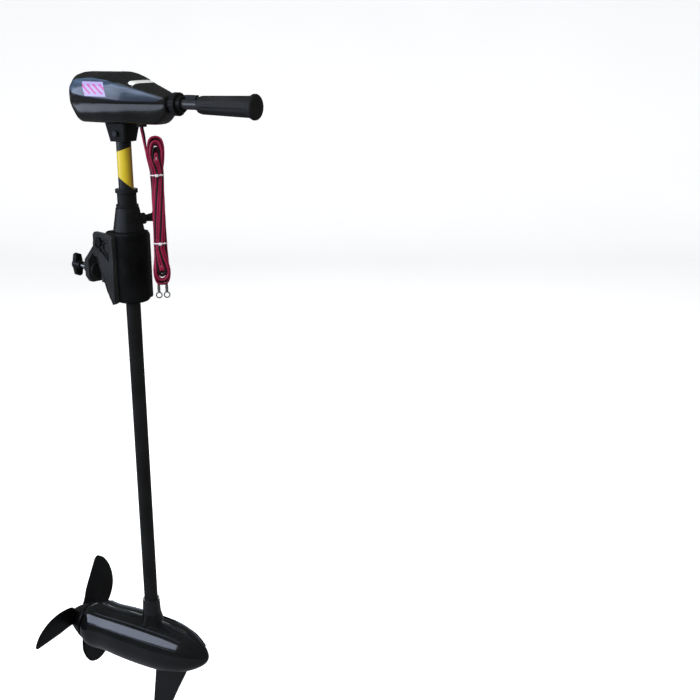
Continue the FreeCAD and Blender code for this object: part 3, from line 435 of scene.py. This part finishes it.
def head_arch(place, upper, steps=18):
    """Points of the head's section above or below the seam, from one side over to the other."""
    width, top, foot = head_limits(place)
    base = max(SEAM, foot) if upper else SEAM
    gap = SEAM_GAP if upper else -SEAM_GAP
    rise = (top - base) if upper else (foot - base)
    power = 2 / squareness(place, upper)
    points = []
    for k in range(steps + 1):
        angle = math.pi * k / steps
        c, s = math.cos(angle), math.sin(angle)
        aside = width * math.copysign(abs(c) ** power, c)
        height = base + gap + (rise - gap) * abs(s) ** power
        points.append((place, aside, height))
    return points


def head_side(place, height):
    """Half width of the head's upper part at a place and height."""
    width, top, foot = head_limits(place)
    base = max(SEAM, foot)
    share = min(0.999, max(0.0, (height - base) / max(1.0, top - base)))
    power = squareness(place)
    return width * (1 - share ** power) ** (1 / power)


def head_shell(name, upper, body_stations, look):
    """One half of the head's case, with a lip turned in along the seam."""
    rows = []
    for place in body_stations:
        arch = head_arch(place, upper)
        inset, lift = (LIP, 0.0) if upper else (TONGUE, TONGUE_RISE)
        if upper and head_limits(place)[2] > SEAM:
            inset = HEAD_HALF
        lip_in = [(place, math.copysign(max(0.0, abs(p[1]) - inset), p[1]), p[2] + lift)
                  for p in (arch[0], arch[-1])]
        rows.append([local(lip_in[0])] + [local(p) for p in arch] + [local(lip_in[1])])
    nose = []
    for shrink, ahead in ((0.93, 1.2), (0.80, 1.6), (0.5, 1.6)):
        arch = [(FRONT + ahead, p[1] * shrink, HANDLE_MM + (p[2] - HANDLE_MM) * shrink)
                for p in head_arch(FRONT, upper)]
        nose.append([local(arch[0])] + [local(p) for p in arch] + [local(arch[-1])])
    return new_piece(name, grid_mesh(name, rows + nose), look, "motor_unit")


def rear_join():
    """The place where the cover's slanting rear face comes down to the seam."""
    place = REAR
    while head_limits(place)[2] > SEAM:
        place += 0.25
    return place


def stations(start, end, count):
    """Even places along the head, closer together at the rear end."""
    return [start + (end - start) * (k / count) ** 1.35 for k in range(count + 1)]


def film(name, side, look):
    """Thin trim film that wraps the cover's side, from its upper to its lower edge."""
    rows, marks = [], []
    count, across = 60, 12
    for i in range(count + 1):
        place = FILM_REAR + (FILM_FRONT - FILM_REAR) * i / count
        low, high = smoothed(FILM_FOOT, place, 8), smoothed(FILM_TOP, place, 8)
        taper = min(1.0, (i + 0.4) / 5.0, (count - i + 0.6) / 3.0)
        middle = (low + high) / 2
        low, high = middle + (low - middle) * taper, middle + (high - middle) * taper
        row, mark = [], []
        for k in range(-1, across + 2):
            share = min(1.0, max(0.0, k / across))
            height = low + (high - low) * share
            lift = FILM_LIFT if 0 <= k <= across else -FILM_TUCK
            row.append(local((place, side * (head_side(place, height) + lift), height)))
            mark.append((place / 100, (height - SEAM) / 100))
        rows.append(row)
        marks.append(mark)
    return new_piece(name, grid_mesh(name, rows, marks=marks), look, "motor_unit")


PATCH_MIDDLE = (-0.17, 0.25)  # along the film and above the seam, in tenths of a metre
PATCH_HALF = (0.26, 0.13)
PATCH_BARS_HALF = 0.085       # half height of the slanting bars inside the patch
PATCH_LEAN = 0.35


def film_look():
    """Glossy blue-grey film with a painted streaked reflection that fades to dark blue towards its lower
    edge, and one plain pale patch with slanting bars.
    """
    made, tree, shader, coords = node_tree("side_film")
    along, height, both = mark_places(tree)
    # Painted reflection: streaks of lighter blue painted into the film's colour, fading to dark blue towards
    # its lower edge.
    reflection_streaks = noise(tree, both, 3.0, 4.0, (0.6, 5.0, 1.0))
    painted_sheen = blend_colour(tree, spread(tree, reflection_streaks, 0.0, 1.0), (0.016, 0.026, 0.042), (0.070, 0.105, 0.155))
    reflection_fade = spread(tree, height, 0.0, 1.0, 0.05, 0.30)
    tone = blend_colour(tree, reflection_fade, (0.018, 0.022, 0.034), painted_sheen)
    lean = maths(tree, "ADD", along, maths(tree, "MULTIPLY", height, PATCH_LEAN))
    box_along = near(tree, lean, PATCH_MIDDLE[0], PATCH_HALF[0])
    patch = maths(tree, "MULTIPLY", box_along, near(tree, height, PATCH_MIDDLE[1], PATCH_HALF[1]))
    wave = maths(tree, "SINE", maths(tree, "MULTIPLY", maths(tree, "ADD", lean, height), 42.0))
    bars = maths(tree, "GREATER_THAN", wave, 0.25)
    barred = maths(tree, "MULTIPLY", bars, near(tree, height, PATCH_MIDDLE[1], PATCH_BARS_HALF))
    printed = blend_colour(tree, barred, (0.40, 0.32, 0.55), (0.50, 0.05, 0.26))
    cover = maths(tree, "MULTIPLY", patch, 0.80)
    tree.links.new(blend_colour(tree, cover, tone, printed), shader.inputs["Base Color"])
    shader.inputs["Roughness"].default_value = 0.24
    shader.inputs["Specular IOR Level"].default_value = 0.3
    shader.inputs["Coat Weight"].default_value = 0.30
    shader.inputs["Coat Roughness"].default_value = 0.05
    add_bump(tree, shader, [(noise(tree, coords, 60.0, 2.0), 0.0002)])
    return made


def head():
    """The head's smooth case, its trim films, the meter's label and its small fittings."""
    upper = head_shell("head_cover_form", True, stations(REAR, FRONT, 64), HEAD_GLOSS)
    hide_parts("head_top_cover")
    lower = head_shell("head_housing_form", False, stations(rear_join(), FRONT, 60), HEAD_GLOSS)
    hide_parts("head_lower_housing")
    look = film_look()
    shown = film("side_film_near", -1, look)
    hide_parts("side_panels")
    film("side_film_far", 1, look)
    nose_boss()
    meter_label()


BOSS_PROFILE = [(104, 15.4), (118, 15.2), (124, 14.5), (145, 14.5), (146, 13.8), (146, 11.6), (120, 11.6)]
LABEL_START, LABEL_LENGTH = 49.0, 10.5
LABEL_SIDE, LABEL_WIDTH = -36.0, 70.0
LABEL_LIFT = 0.45


def handle_ring(ahead, radii):
    """A ring of points about the handle's axis, one for each radius."""
    ring = []
    for k, radius in enumerate(radii):
        t = 2 * math.pi * k / len(radii)
        ring.append(local((ahead, radius * math.cos(t), HANDLE_MM + radius * math.sin(t))))
    return ring


def nose_boss():
    """Round boss at the head's front, from which the handle comes out."""
    rows = [handle_ring(ahead, [radius] * 48) for ahead, radius in BOSS_PROFILE]
    boss = new_piece("nose_boss", grid_mesh("nose_boss", rows, loop=True), SATIN, "motor_unit")


def meter_label():
    """Thin label laid across the head's front slope."""
    columns, lines = 24, 8
    rows, marks = [], []
    for i in range(columns + 1):
        aside = LABEL_SIDE + LABEL_WIDTH * i / columns
        row, mark = [], []
        for k in range(lines + 1):
            place = LABEL_START + LABEL_LENGTH * k / lines
            width, top, _ = head_limits(place)
            share = min(0.995, abs(aside) / width)
            power = squareness(place)
            height = SEAM + (top - SEAM) * (1 - share ** power) ** (1 / power)
            edge = 0.0 if i in (0, columns) or k in (0, lines) else LABEL_LIFT
            row.append(local((place, aside, height + edge)))
            mark.append((i / columns, k / lines))
        rows.append(row)
        marks.append(mark)
    mesh = grid_mesh("meter_label", rows, marks=marks)
    label = new_piece("meter_label", mesh, label_look(), "motor_unit")
    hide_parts("meter_window")


LAMP_CELLS = 10.0             # lamps across the label if its whole width were filled
LAMP_LINE = 0.6               # the lamps' place across the label's short side
LAMP_RADIUS = 0.26
LAMP_SHAPE = 2.9              # the label's short side as a count of lamp cells
RULE_LINE, RULE_HALF = 0.22, 0.06
MARKS_HALF = 0.35             # half of the share of the label's width that the marks take


def label_look():
    """Pale label with a row of small round lamps and a plain grey rule."""
    made, tree, shader, coords = node_tree("meter_label")
    across, along, _ = mark_places(tree)
    cell = maths(tree, "SUBTRACT", maths(tree, "FRACT", maths(tree, "MULTIPLY", across, LAMP_CELLS)), 0.5)
    off = maths(tree, "MULTIPLY", maths(tree, "SUBTRACT", along, LAMP_LINE), LAMP_SHAPE)
    squares = maths(tree, "ADD", maths(tree, "MULTIPLY", cell, cell), maths(tree, "MULTIPLY", off, off))
    lamps = maths(tree, "LESS_THAN", maths(tree, "SQRT", squares), LAMP_RADIUS)
    inside = near(tree, across, 0.5, MARKS_HALF)
    rule = maths(tree, "MULTIPLY", near(tree, along, RULE_LINE, RULE_HALF), inside)
    mottled = spread(tree, noise(tree, coords, 40.0), 0, 1)
    pale = blend_colour(tree, mottled, (0.66, 0.68, 0.66), (0.80, 0.81, 0.79))
    ruled = blend_colour(tree, maths(tree, "MULTIPLY", rule, 0.7), pale, (0.22, 0.20, 0.18))
    warm = blend_colour(tree, across, (0.10, 0.30, 0.10), (0.45, 0.08, 0.05))
    shown = blend_colour(tree, maths(tree, "MULTIPLY", lamps, inside), ruled, warm)
    tree.links.new(shown, shader.inputs["Base Color"])
    shader.inputs["Roughness"].default_value = 0.22
    shader.inputs["Coat Weight"].default_value = 0.6
    add_bump(tree, shader, [(noise(tree, coords, 300.0), 0.00005)])
    return made


# ---- Grip -----------------------------------------------------------------------------------------------
GRIP_START, GRIP_END = 182.0, 305.0
GRIP_RADIUS = (16.6, 19.0)    # of the body, from its front to its back end
GRIP_FLUTES = 12
FLUTE_DEPTH = 0.75
GRIP_SIDES = 96


def grip_profile():
    """The grip's outline: place along the handle and radius."""
    start, end = GRIP_START, GRIP_END
    first = [(start, 9.4), (start, 13.6), (start + 0.8, 14.7), (start + 3, 15.6), (start + 6, 16.4)]
    body_start, body_end = start + 8, end - 20
    steps = 23
    body = []
    for k in range(steps + 1):
        share = k / steps
        radius = GRIP_RADIUS[0] + (GRIP_RADIUS[1] - GRIP_RADIUS[0]) * share
        body.append((body_start + share * (body_end - body_start), radius))
    flange = [(end - 10, 19.5), (end - 8.6, 20.6), (end - 7.6, 22.2), (end - 6, 22.9), (end - 3, 22.7),
              (end - 1.2, 21.6), (end - 0.2, 19.5), (end, 16), (end - 0.5, 11), (end - 0.8, 4),
              (end - 0.8, 0.3)]
    return first + body + flange


def grip():
    """Rubber twist grip with shallow finger flutes and a rolled flange."""
    rows = []
    for ahead, radius in grip_profile():
        entry = min(1.0, max(0.0, (ahead - GRIP_START - 8) / 8))
        leave = min(1.0, max(0.0, (GRIP_END - 14 - ahead) / 8))
        radii = []
        for k in range(GRIP_SIDES):
            wave = 0.5 - 0.5 * math.cos(GRIP_FLUTES * 2 * math.pi * k / GRIP_SIDES)
            radii.append(radius - FLUTE_DEPTH * entry * leave * wave ** 2)
        rows.append(handle_ring(ahead, radii))
    made = new_piece("grip_form", grid_mesh("grip_form", rows, loop=True), RUBBER, "grip")
    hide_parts("handle_grip")


# ---- Cable ----------------------------------------------------------------------------------------------
CABLE_TURN = math.radians(41.0)
TIE_LOW, TIE_HIGH = 36.0, 165.0
LOOP_TOP, LOOP_FOOT = 236.0, -44.0
COLUMNS, LAYERS = 3, 4        # the loops' two sides stand in this many columns and layers
FIRST_COLUMN, COLUMN_GAP = 2.2, 3.6
FIRST_LAYER, LAYER_GAP = -6.9, 4.6
NEST_TOP, NEST_FOOT, NEST_SIDE = 2.7, 2.6, 1.05  # each loop lies inside the next by these
CREST_START, HOLLOW_START = 194, -16             # heights where the loops open beyond the ties
STRAND_R = 2.05
TAIL_R = 2.2
PACK_HALF = (10.4, 8.2)       # half width and depth of the pack before it is pressed round
ROUND_HALF = (11.2, 8.8)      # and after
PACK_TURNS = [(TIE_LOW - 12, -0.75), (TIE_LOW, -0.6), (78, -0.25), (120, 0.15), (TIE_HIGH, 0.6)]


def cable_frame():
    """Middle line of the hanging coil and the two directions across it."""
    low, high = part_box("cable_bundle")
    middle = (low + high) / 2
    wide = NOSE * math.cos(CABLE_TURN) + SIDE * math.sin(CABLE_TURN)
    deep = SIDE * math.cos(CABLE_TURN) - NOSE * math.sin(CABLE_TURN)
    return Vector((middle.x, middle.y, 0.0)), wide, deep


COIL, COIL_WIDE, COIL_DEEP = cable_frame()


def spot(x, y, z):
    """A point of the coil in millimetres: across its flat side, through it, and its height."""
    return COIL + COIL_WIDE * x * MM + COIL_DEEP * y * MM + UP * z * MM


def packed(x, y, turn):
    """Place in the tied bundle's round section, turned about its middle."""
    u, v = x / PACK_HALF[0], y / PACK_HALF[1]
    u, v = u * math.sqrt(1 - v * v / 2), v * math.sqrt(1 - u * u / 2)
    c, s = math.cos(turn), math.sin(turn)
    return (u * c - v * s) * ROUND_HALF[0], (u * s + v * c) * ROUND_HALF[1]


def loop_path(chance, column, layer):
    """One loop of the coil: up one side, over the top, down the other side and round the foot."""
    depth = FIRST_LAYER + LAYER_GAP * layer
    inner = FIRST_COLUMN + COLUMN_GAP * column
    rank = column * LAYERS + (3 * layer) % LAYERS
    inward = COLUMNS * LAYERS - 1 - rank
    top = LOOP_TOP - NEST_TOP * inward - chance.uniform(0, 2)
    foot = LOOP_FOOT + NEST_FOOT * inward + chance.uniform(0, 2)
    flare = 2.0 + NEST_SIDE * rank + chance.uniform(0, 0.8)
    spill = 2.4 + NEST_SIDE * rank + chance.uniform(0, 1.0)
    lean = depth + chance.uniform(-0.9, 0.9)
    rising = [(*packed(-inner, depth, turn), z) for z, turn in PACK_TURNS]
    falling = [(*packed(inner, depth, turn), z) for z, turn in reversed(PACK_TURNS)]
    crest = [(-flare * 0.95, lean, CREST_START), (-flare, lean, top - 18), (-flare * 0.7, lean, top - 4),
             (0, lean, top),
             (flare * 0.7, lean, top - 4), (flare, lean, top - 18), (flare * 0.95, lean, CREST_START)]
    hollow = [(spill, lean, HOLLOW_START), (spill * 0.75, lean, foot + 5), (0, lean, foot),
              (-spill * 0.75, lean, foot + 5)]
    points = [(-spill, lean, HOLLOW_START)] + rising + crest + falling + hollow
    path = [spot(*point) for point in points]
    return spline(path + path[:3], 6)[6:-5]


def coil():
    """The long cable gathered into narrow loops, with its two tails."""
    chance = random.Random(11)
    crimson, black = [], []
    for k in range(COLUMNS * LAYERS):
        column, layer = k % COLUMNS, k // COLUMNS
        mesh = tube_mesh("strand", loop_path(chance, column, layer), STRAND_R * MM, 8)
        (black if (column + layer) % 3 == 1 else crimson).append(mesh)
    for x, colour in ((-7.5, crimson), (7.5, black)):
        tail = [spot(x * 0.5, 0, TIE_LOW), spot(x * 0.8, 1, 12), spot(x * 1.2, 2, -12), spot(x * 1.2, 1, -34),
                spot(x, 0, -46), spot(x, 0, -56)]
        colour.append(tube_mesh("tail", spline(tail, 8), TAIL_R * MM, 10))
    red = merged("cable_crimson", crimson, CRIMSON, "cable")
    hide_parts("cable_bundle")
    merged("cable_black", black, BLACK_JACKET, "cable")


STRAP_HALF = (12.6, 10.4)
STRAP_PROFILE = [(0.0, -1.1), (0.8, -1.3), (1.0, 0.0), (0.8, 1.3), (0.0, 1.1)]
LOCK_PLACE = (-1.0, -12.6)
LOCK_SIZE = (6.0, 4.2, 5.0)


def tie_strap(z):
    """A tie's strap round the bundle at a height."""
    rows, count = [], 40
    for out, rise in STRAP_PROFILE:
        row = []
        for k in range(count):
            t = 2 * math.pi * k / count
            c, s = math.cos(t), math.sin(t)
            x = (STRAP_HALF[0] + out) * math.copysign(abs(c) ** 0.85, c)
            y = (STRAP_HALF[1] + out) * math.copysign(abs(s) ** 0.85, s)
            row.append(spot(x, y, z + rise))
        rows.append(row)
    rows.append(rows[0])
    return grid_mesh("strap", rows, loop=True)


def tie_lock(z):
    """A tie's small rounded lock."""
    lock = bmesh.new()
    bmesh.ops.create_cube(lock, size=1.0)
    bmesh.ops.bevel(lock, geom=lock.edges, offset=0.14, segments=3, affect="EDGES", profile=0.6)
    wide, deep, high = LOCK_SIZE
    for vert in lock.verts:
        x, y, rise = vert.co
        vert.co = spot(LOCK_PLACE[0] + x * wide, LOCK_PLACE[1] + y * deep, z + rise * high)
    mesh = bpy.data.meshes.new("lock")
    lock.to_mesh(mesh)
    lock.free()
    return mesh


def ties():
    """The two nylon ties round the coil, each with its lock and a short cut tail."""
    made = []
    for z in (TIE_LOW, TIE_HIGH):
        tail = spline([spot(1, -12.8, z), spot(5, -13.2, z + 1), spot(8, -12.8, z + 2.5)], 6)
        made += [tie_strap(z), tie_lock(z), tube_mesh("tie_tail", tail, 0.85 * MM, 6)]
    tied = merged("cable_ties", made, TIE, "cable")
    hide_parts("zip_ties")


LEAD_R = 2.1
BEND_START, BEND_END = 0.250, 0.190              # heights between which the pair bends


def lead():
    """The red and black pair from the head's underside down to the coil, with one fixed bend."""
    exit_low, exit_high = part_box("power_lead")
    outlet = (exit_low + exit_high) / 2
    for name, offset, look in (("lead_crimson", -2.2, CRIMSON), ("lead_black", 2.2, BLACK_JACKET)):
        points = [outlet + SIDE * offset * MM + UP * (0.262 - outlet.z),
                  outlet + SIDE * offset * MM + UP * (BEND_START - outlet.z),
                  outlet + SIDE * offset * MM + NOSE * 0.003 + UP * (0.235 - outlet.z),
                  COIL - COIL_WIDE * 0.017 + COIL_DEEP * offset * 0.0006 + UP * 0.205,
                  COIL - COIL_WIDE * 0.0125 + COIL_DEEP * (offset * 0.0008 + 0.004) + UP * 0.180,
                  COIL - COIL_WIDE * 0.007 + COIL_DEEP * (offset * 0.0008 + 0.002) + UP * 0.150]
        made = new_piece(name, tube_mesh(name, spline(points, 10), LEAD_R * MM, 12), look, None)
        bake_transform(made)
        if offset < 0:
            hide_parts("power_lead")


# ---- Shaft label ----------------------------------------------------------------------------------------
def yellow_look():
    """Yellow wrap, lightly scuffed, with painted shade that turns it brown round one side."""
    made, tree, shader, coords = node_tree("yellow_film")
    grime = noise(tree, coords, 35.0, 5.0, (1, 1, 0.4))
    broad = noise(tree, coords, 18.0, 2.0)
    base = blend_colour(tree, spread(tree, broad, 0, 1), (0.52, 0.37, 0.010), (0.60, 0.45, 0.018))
    parts = tree.nodes.new("ShaderNodeSeparateXYZ")
    tree.links.new(coords, parts.inputs["Vector"])
    # Painted shade: the wrap darkens to brown towards its +X side.
    side = spread(tree, parts.outputs["X"], 0.0, 0.85, -0.008, 0.006)
    shade = blend_colour(tree, side, base, (0.17, 0.070, 0.008))
    worn = maths(tree, "MULTIPLY", spread(tree, grime, 0, 1, 0.55, 0.75), 0.5)
    tree.links.new(blend_colour(tree, worn, shade, (0.20, 0.11, 0.02)), shader.inputs["Base Color"])
    shader.inputs["Roughness"].default_value = 0.34
    shader.inputs["Coat Weight"].default_value = 0.2
    add_bump(tree, shader, [(grime, 0.00008)])
    return made


frame["nodes"]["shaft_label"].data.materials[0] = yellow_look()


# ---- Bracket ribs ---------------------------------------------------------------------------------------
BAR_SIDES = 20


def bar(start, end, wide, deep, across):
    """A rounded bar between two points, for moulded ribs."""
    along = (Vector(end) - Vector(start)).normalized()
    other = along.cross(across).normalized()
    rows = []
    for point in (start, end):
        ring = []
        for k in range(BAR_SIDES):
            t = 2 * math.pi * k / BAR_SIDES
            c, s = math.cos(t), math.sin(t)
            ring.append(Vector(point) + other * wide / 2 * math.copysign(abs(c) ** 0.5, c)
                        + Vector(across) * deep / 2 * math.copysign(abs(s) ** 0.5, s))
        rows.append(ring)
    return grid_mesh("bar", rows, loop=True, caps=True)


WINDOW = [(-0.064, 0.037), (-0.024, 0.037), (-0.0195, 0.033), (-0.0195, 0.0205), (-0.064, -0.0025)]
# Each run of ribs: how far out it stands, its width and depth, and its points on the cheek, in metres.
CHEEK_RUNS = [
    (0.0405, 0.0024, 0.0040, [(-0.064, 0.037), (-0.0215, 0.0185)]),
    (0.0405, 0.0024, 0.0040, [(-0.064, -0.002), (-0.024, 0.036)]),
    (0.0405, 0.0024, 0.0040, [(-0.044, 0.037), (-0.044, 0.007)]),
    (0.0430, 0.0022, 0.0016, WINDOW + WINDOW[:1]),
    (0.0432, 0.0026, 0.0022, [(-0.0795, 0.0425), (-0.0795, -0.082)]),
    (0.0432, 0.0026, 0.0022, [(-0.072, -0.0855), (-0.0555, -0.0645), (-0.0245, -0.0015)]),
]


def bracket_ribs():
    """Crossed ribs and raised rims moulded on the clamp's cheeks."""
    ribs = []
    for side in (-1, 1):
        for out, wide, deep, points in CHEEK_RUNS:
            for first, second in zip(points, points[1:]):
                start, end = (side * out, *first), (side * out, *second)
                ribs.append(bar(start, end, wide, deep, Vector((1, 0, 0))))
    made = merged("cheek_ribs", ribs, CHEEK, "clamp")


head()
grip()
coil()
ties()
lead()
bracket_ribs()


# ---- Stage ----------------------------------------------------------------------------------------------
FLOOR_GAP = 0.03
PAPER_GLOW = 0.52
PAPER_SHADE = 0.12            # the paper as the object's own reflections see it
CAMERA_PLACE = Vector((-1.1053, -1.8261, 0.4189))
CAMERA_HEADING = math.radians(-44.2)
CAMERA_PITCH = math.radians(16.69)
CAMERA_LENS = 54.3
FLOOR_HALF = 9.0              # half width of the floor, its reach towards the camera, the wall's height
WALL_AT = 5.0                 # where the floor starts to curve up
WALL_ROUND = 2.0
WALL_STEPS = 12


def stage():
    """Pale floor that curves up into a pale backdrop, facing the camera."""
    low = CAD_BOX[0].z - FLOOR_GAP
    made, tree, shader, coords = node_tree("studio_paper")
    mottled = spread(tree, noise(tree, coords, 1.5), 0.0, 1.0)
    tone = blend_colour(tree, mottled, (0.86, 0.86, 0.86), (0.89, 0.89, 0.89))
    seen = tree.nodes.new("ShaderNodeLightPath").outputs["Is Camera Ray"]
    tree.links.new(blend_colour(tree, seen, (PAPER_SHADE,) * 3, tone), shader.inputs["Base Color"])
    shader.inputs["Roughness"].default_value = 0.9
    tree.links.new(maths(tree, "MULTIPLY", seen, PAPER_GLOW), shader.inputs["Emission Strength"])
    shader.inputs["Emission Color"].default_value = (1.0, 1.0, 1.0, 1.0)
    mesh = bpy.data.meshes.new("studio_floor")
    profile = [(-FLOOR_HALF, 0.0), (WALL_AT, 0.0)]
    for k in range(1, WALL_STEPS + 1):
        angle = math.pi / 2 * k / WALL_STEPS
        profile.append((WALL_AT + WALL_ROUND * math.sin(angle), WALL_ROUND * (1 - math.cos(angle))))
    profile.append((WALL_AT + WALL_ROUND, FLOOR_HALF))
    heading = Matrix.Rotation(CAMERA_HEADING, 4, "Z")
    corners = [(x, y, z) for y, z in profile for x in (-FLOOR_HALF, FLOOR_HALF)]
    verts = [heading @ Vector(corner) + Vector((0, 0, low)) for corner in corners]
    faces = [(2 * k, 2 * k + 1, 2 * k + 3, 2 * k + 2) for k in range(len(profile) - 1)]
    mesh.from_pydata(verts, [], faces)
    mesh.shade_smooth()
    floor = bpy.data.objects.new("studio_floor", mesh)
    bpy.context.scene.collection.objects.link(floor)
    floor.data.materials.append(made)


def camera():
    """The camera: ahead of the motor on its left, a little above the head, looking down."""
    data = bpy.data.cameras.new("camera")
    data.lens = CAMERA_LENS
    data.sensor_width = 36.0
    placed = bpy.data.objects.new("camera", data)
    placed.location = CAMERA_PLACE
    placed.rotation_euler = (math.pi / 2 - CAMERA_PITCH, 0.0, CAMERA_HEADING)
    bpy.context.scene.collection.objects.link(placed)
    bpy.context.scene.camera = placed


def lamp(name, place, target, size, power, colour=(1, 1, 1), height=None, along=None):
    """A soft rectangular light aimed at a point; only one laid along a direction shows in reflections."""
    data = bpy.data.lights.new(name, "AREA")
    data.shape = "RECTANGLE"
    data.size = size
    data.size_y = height or size
    data.energy = power
    data.color = colour
    placed = bpy.data.objects.new(name, data)
    placed.location = place
    placed.rotation_mode = "QUATERNION"
    aim = Vector(target) - Vector(place)
    turn = aim.to_track_quat("-Z", "Y")
    if along is not None:
        back = -aim.normalized()
        first = (along - back * along.dot(back)).normalized()
        turn = Matrix((first, back.cross(first), back)).transposed().to_quaternion()
    placed.rotation_quaternion = turn
    placed.visible_glossy = along is not None
    placed.visible_camera = False
    bpy.context.scene.collection.objects.link(placed)


WORLD_LIGHT = 0.60
WORLD_GLOSS_CUT = 0.50        # taken off in reflections, so black plastic stays black
WORLD_VIEW_LIFT = 0.38        # added where the camera sees past the floor


def lights():
    """Soft lamps: above, a window and a cool strip at the camera's left, a thin rim, a fill, one behind."""
    middle, pod = (0.0, -0.1, -0.3), at(0.0, 0.0, MOTOR_Z)
    lamp("overhead", (-0.4, -0.9, 2.6), middle, 3.2, 60)
    lamp("window", (-2.6, -1.2, 1.2), middle, 1.2, 30, (0.86, 0.92, 1.0), 2.4)
    lamp("strip", (-1.74, 0.41, 0.55), pod, 3.4, 56, (0.70, 0.79, 1.0), 1.15, NOSE)
    lamp("rim", (1.05, 1.60, 0.42), pod, 2.6, 3.2, (0.93, 1.0, 0.95), 0.12, NOSE)
    lamp("fill", (1.6, -2.4, 0.6), middle, 1.6, 16, (1.0, 0.98, 0.95))
    lamp("back", (0.8, 2.6, 1.4), middle, 2.0, 30)
    world = bpy.data.worlds.new("studio")
    bpy.context.scene.world = world
    world.use_nodes = True
    world.node_tree.nodes["Background"].inputs["Color"].default_value = (0.96, 0.97, 1.0, 1)
    tree = world.node_tree
    rays = tree.nodes.new("ShaderNodeLightPath").outputs
    cut = maths(tree, "MULTIPLY", rays["Is Glossy Ray"], WORLD_GLOSS_CUT)
    lift = maths(tree, "MULTIPLY", rays["Is Camera Ray"], WORLD_VIEW_LIFT)
    strength = maths(tree, "ADD", maths(tree, "SUBTRACT", WORLD_LIGHT, cut), lift)
    tree.links.new(strength, tree.nodes["Background"].inputs["Strength"])


stage()
camera()
lights()
bpy.context.scene.view_settings.view_transform = "Standard"
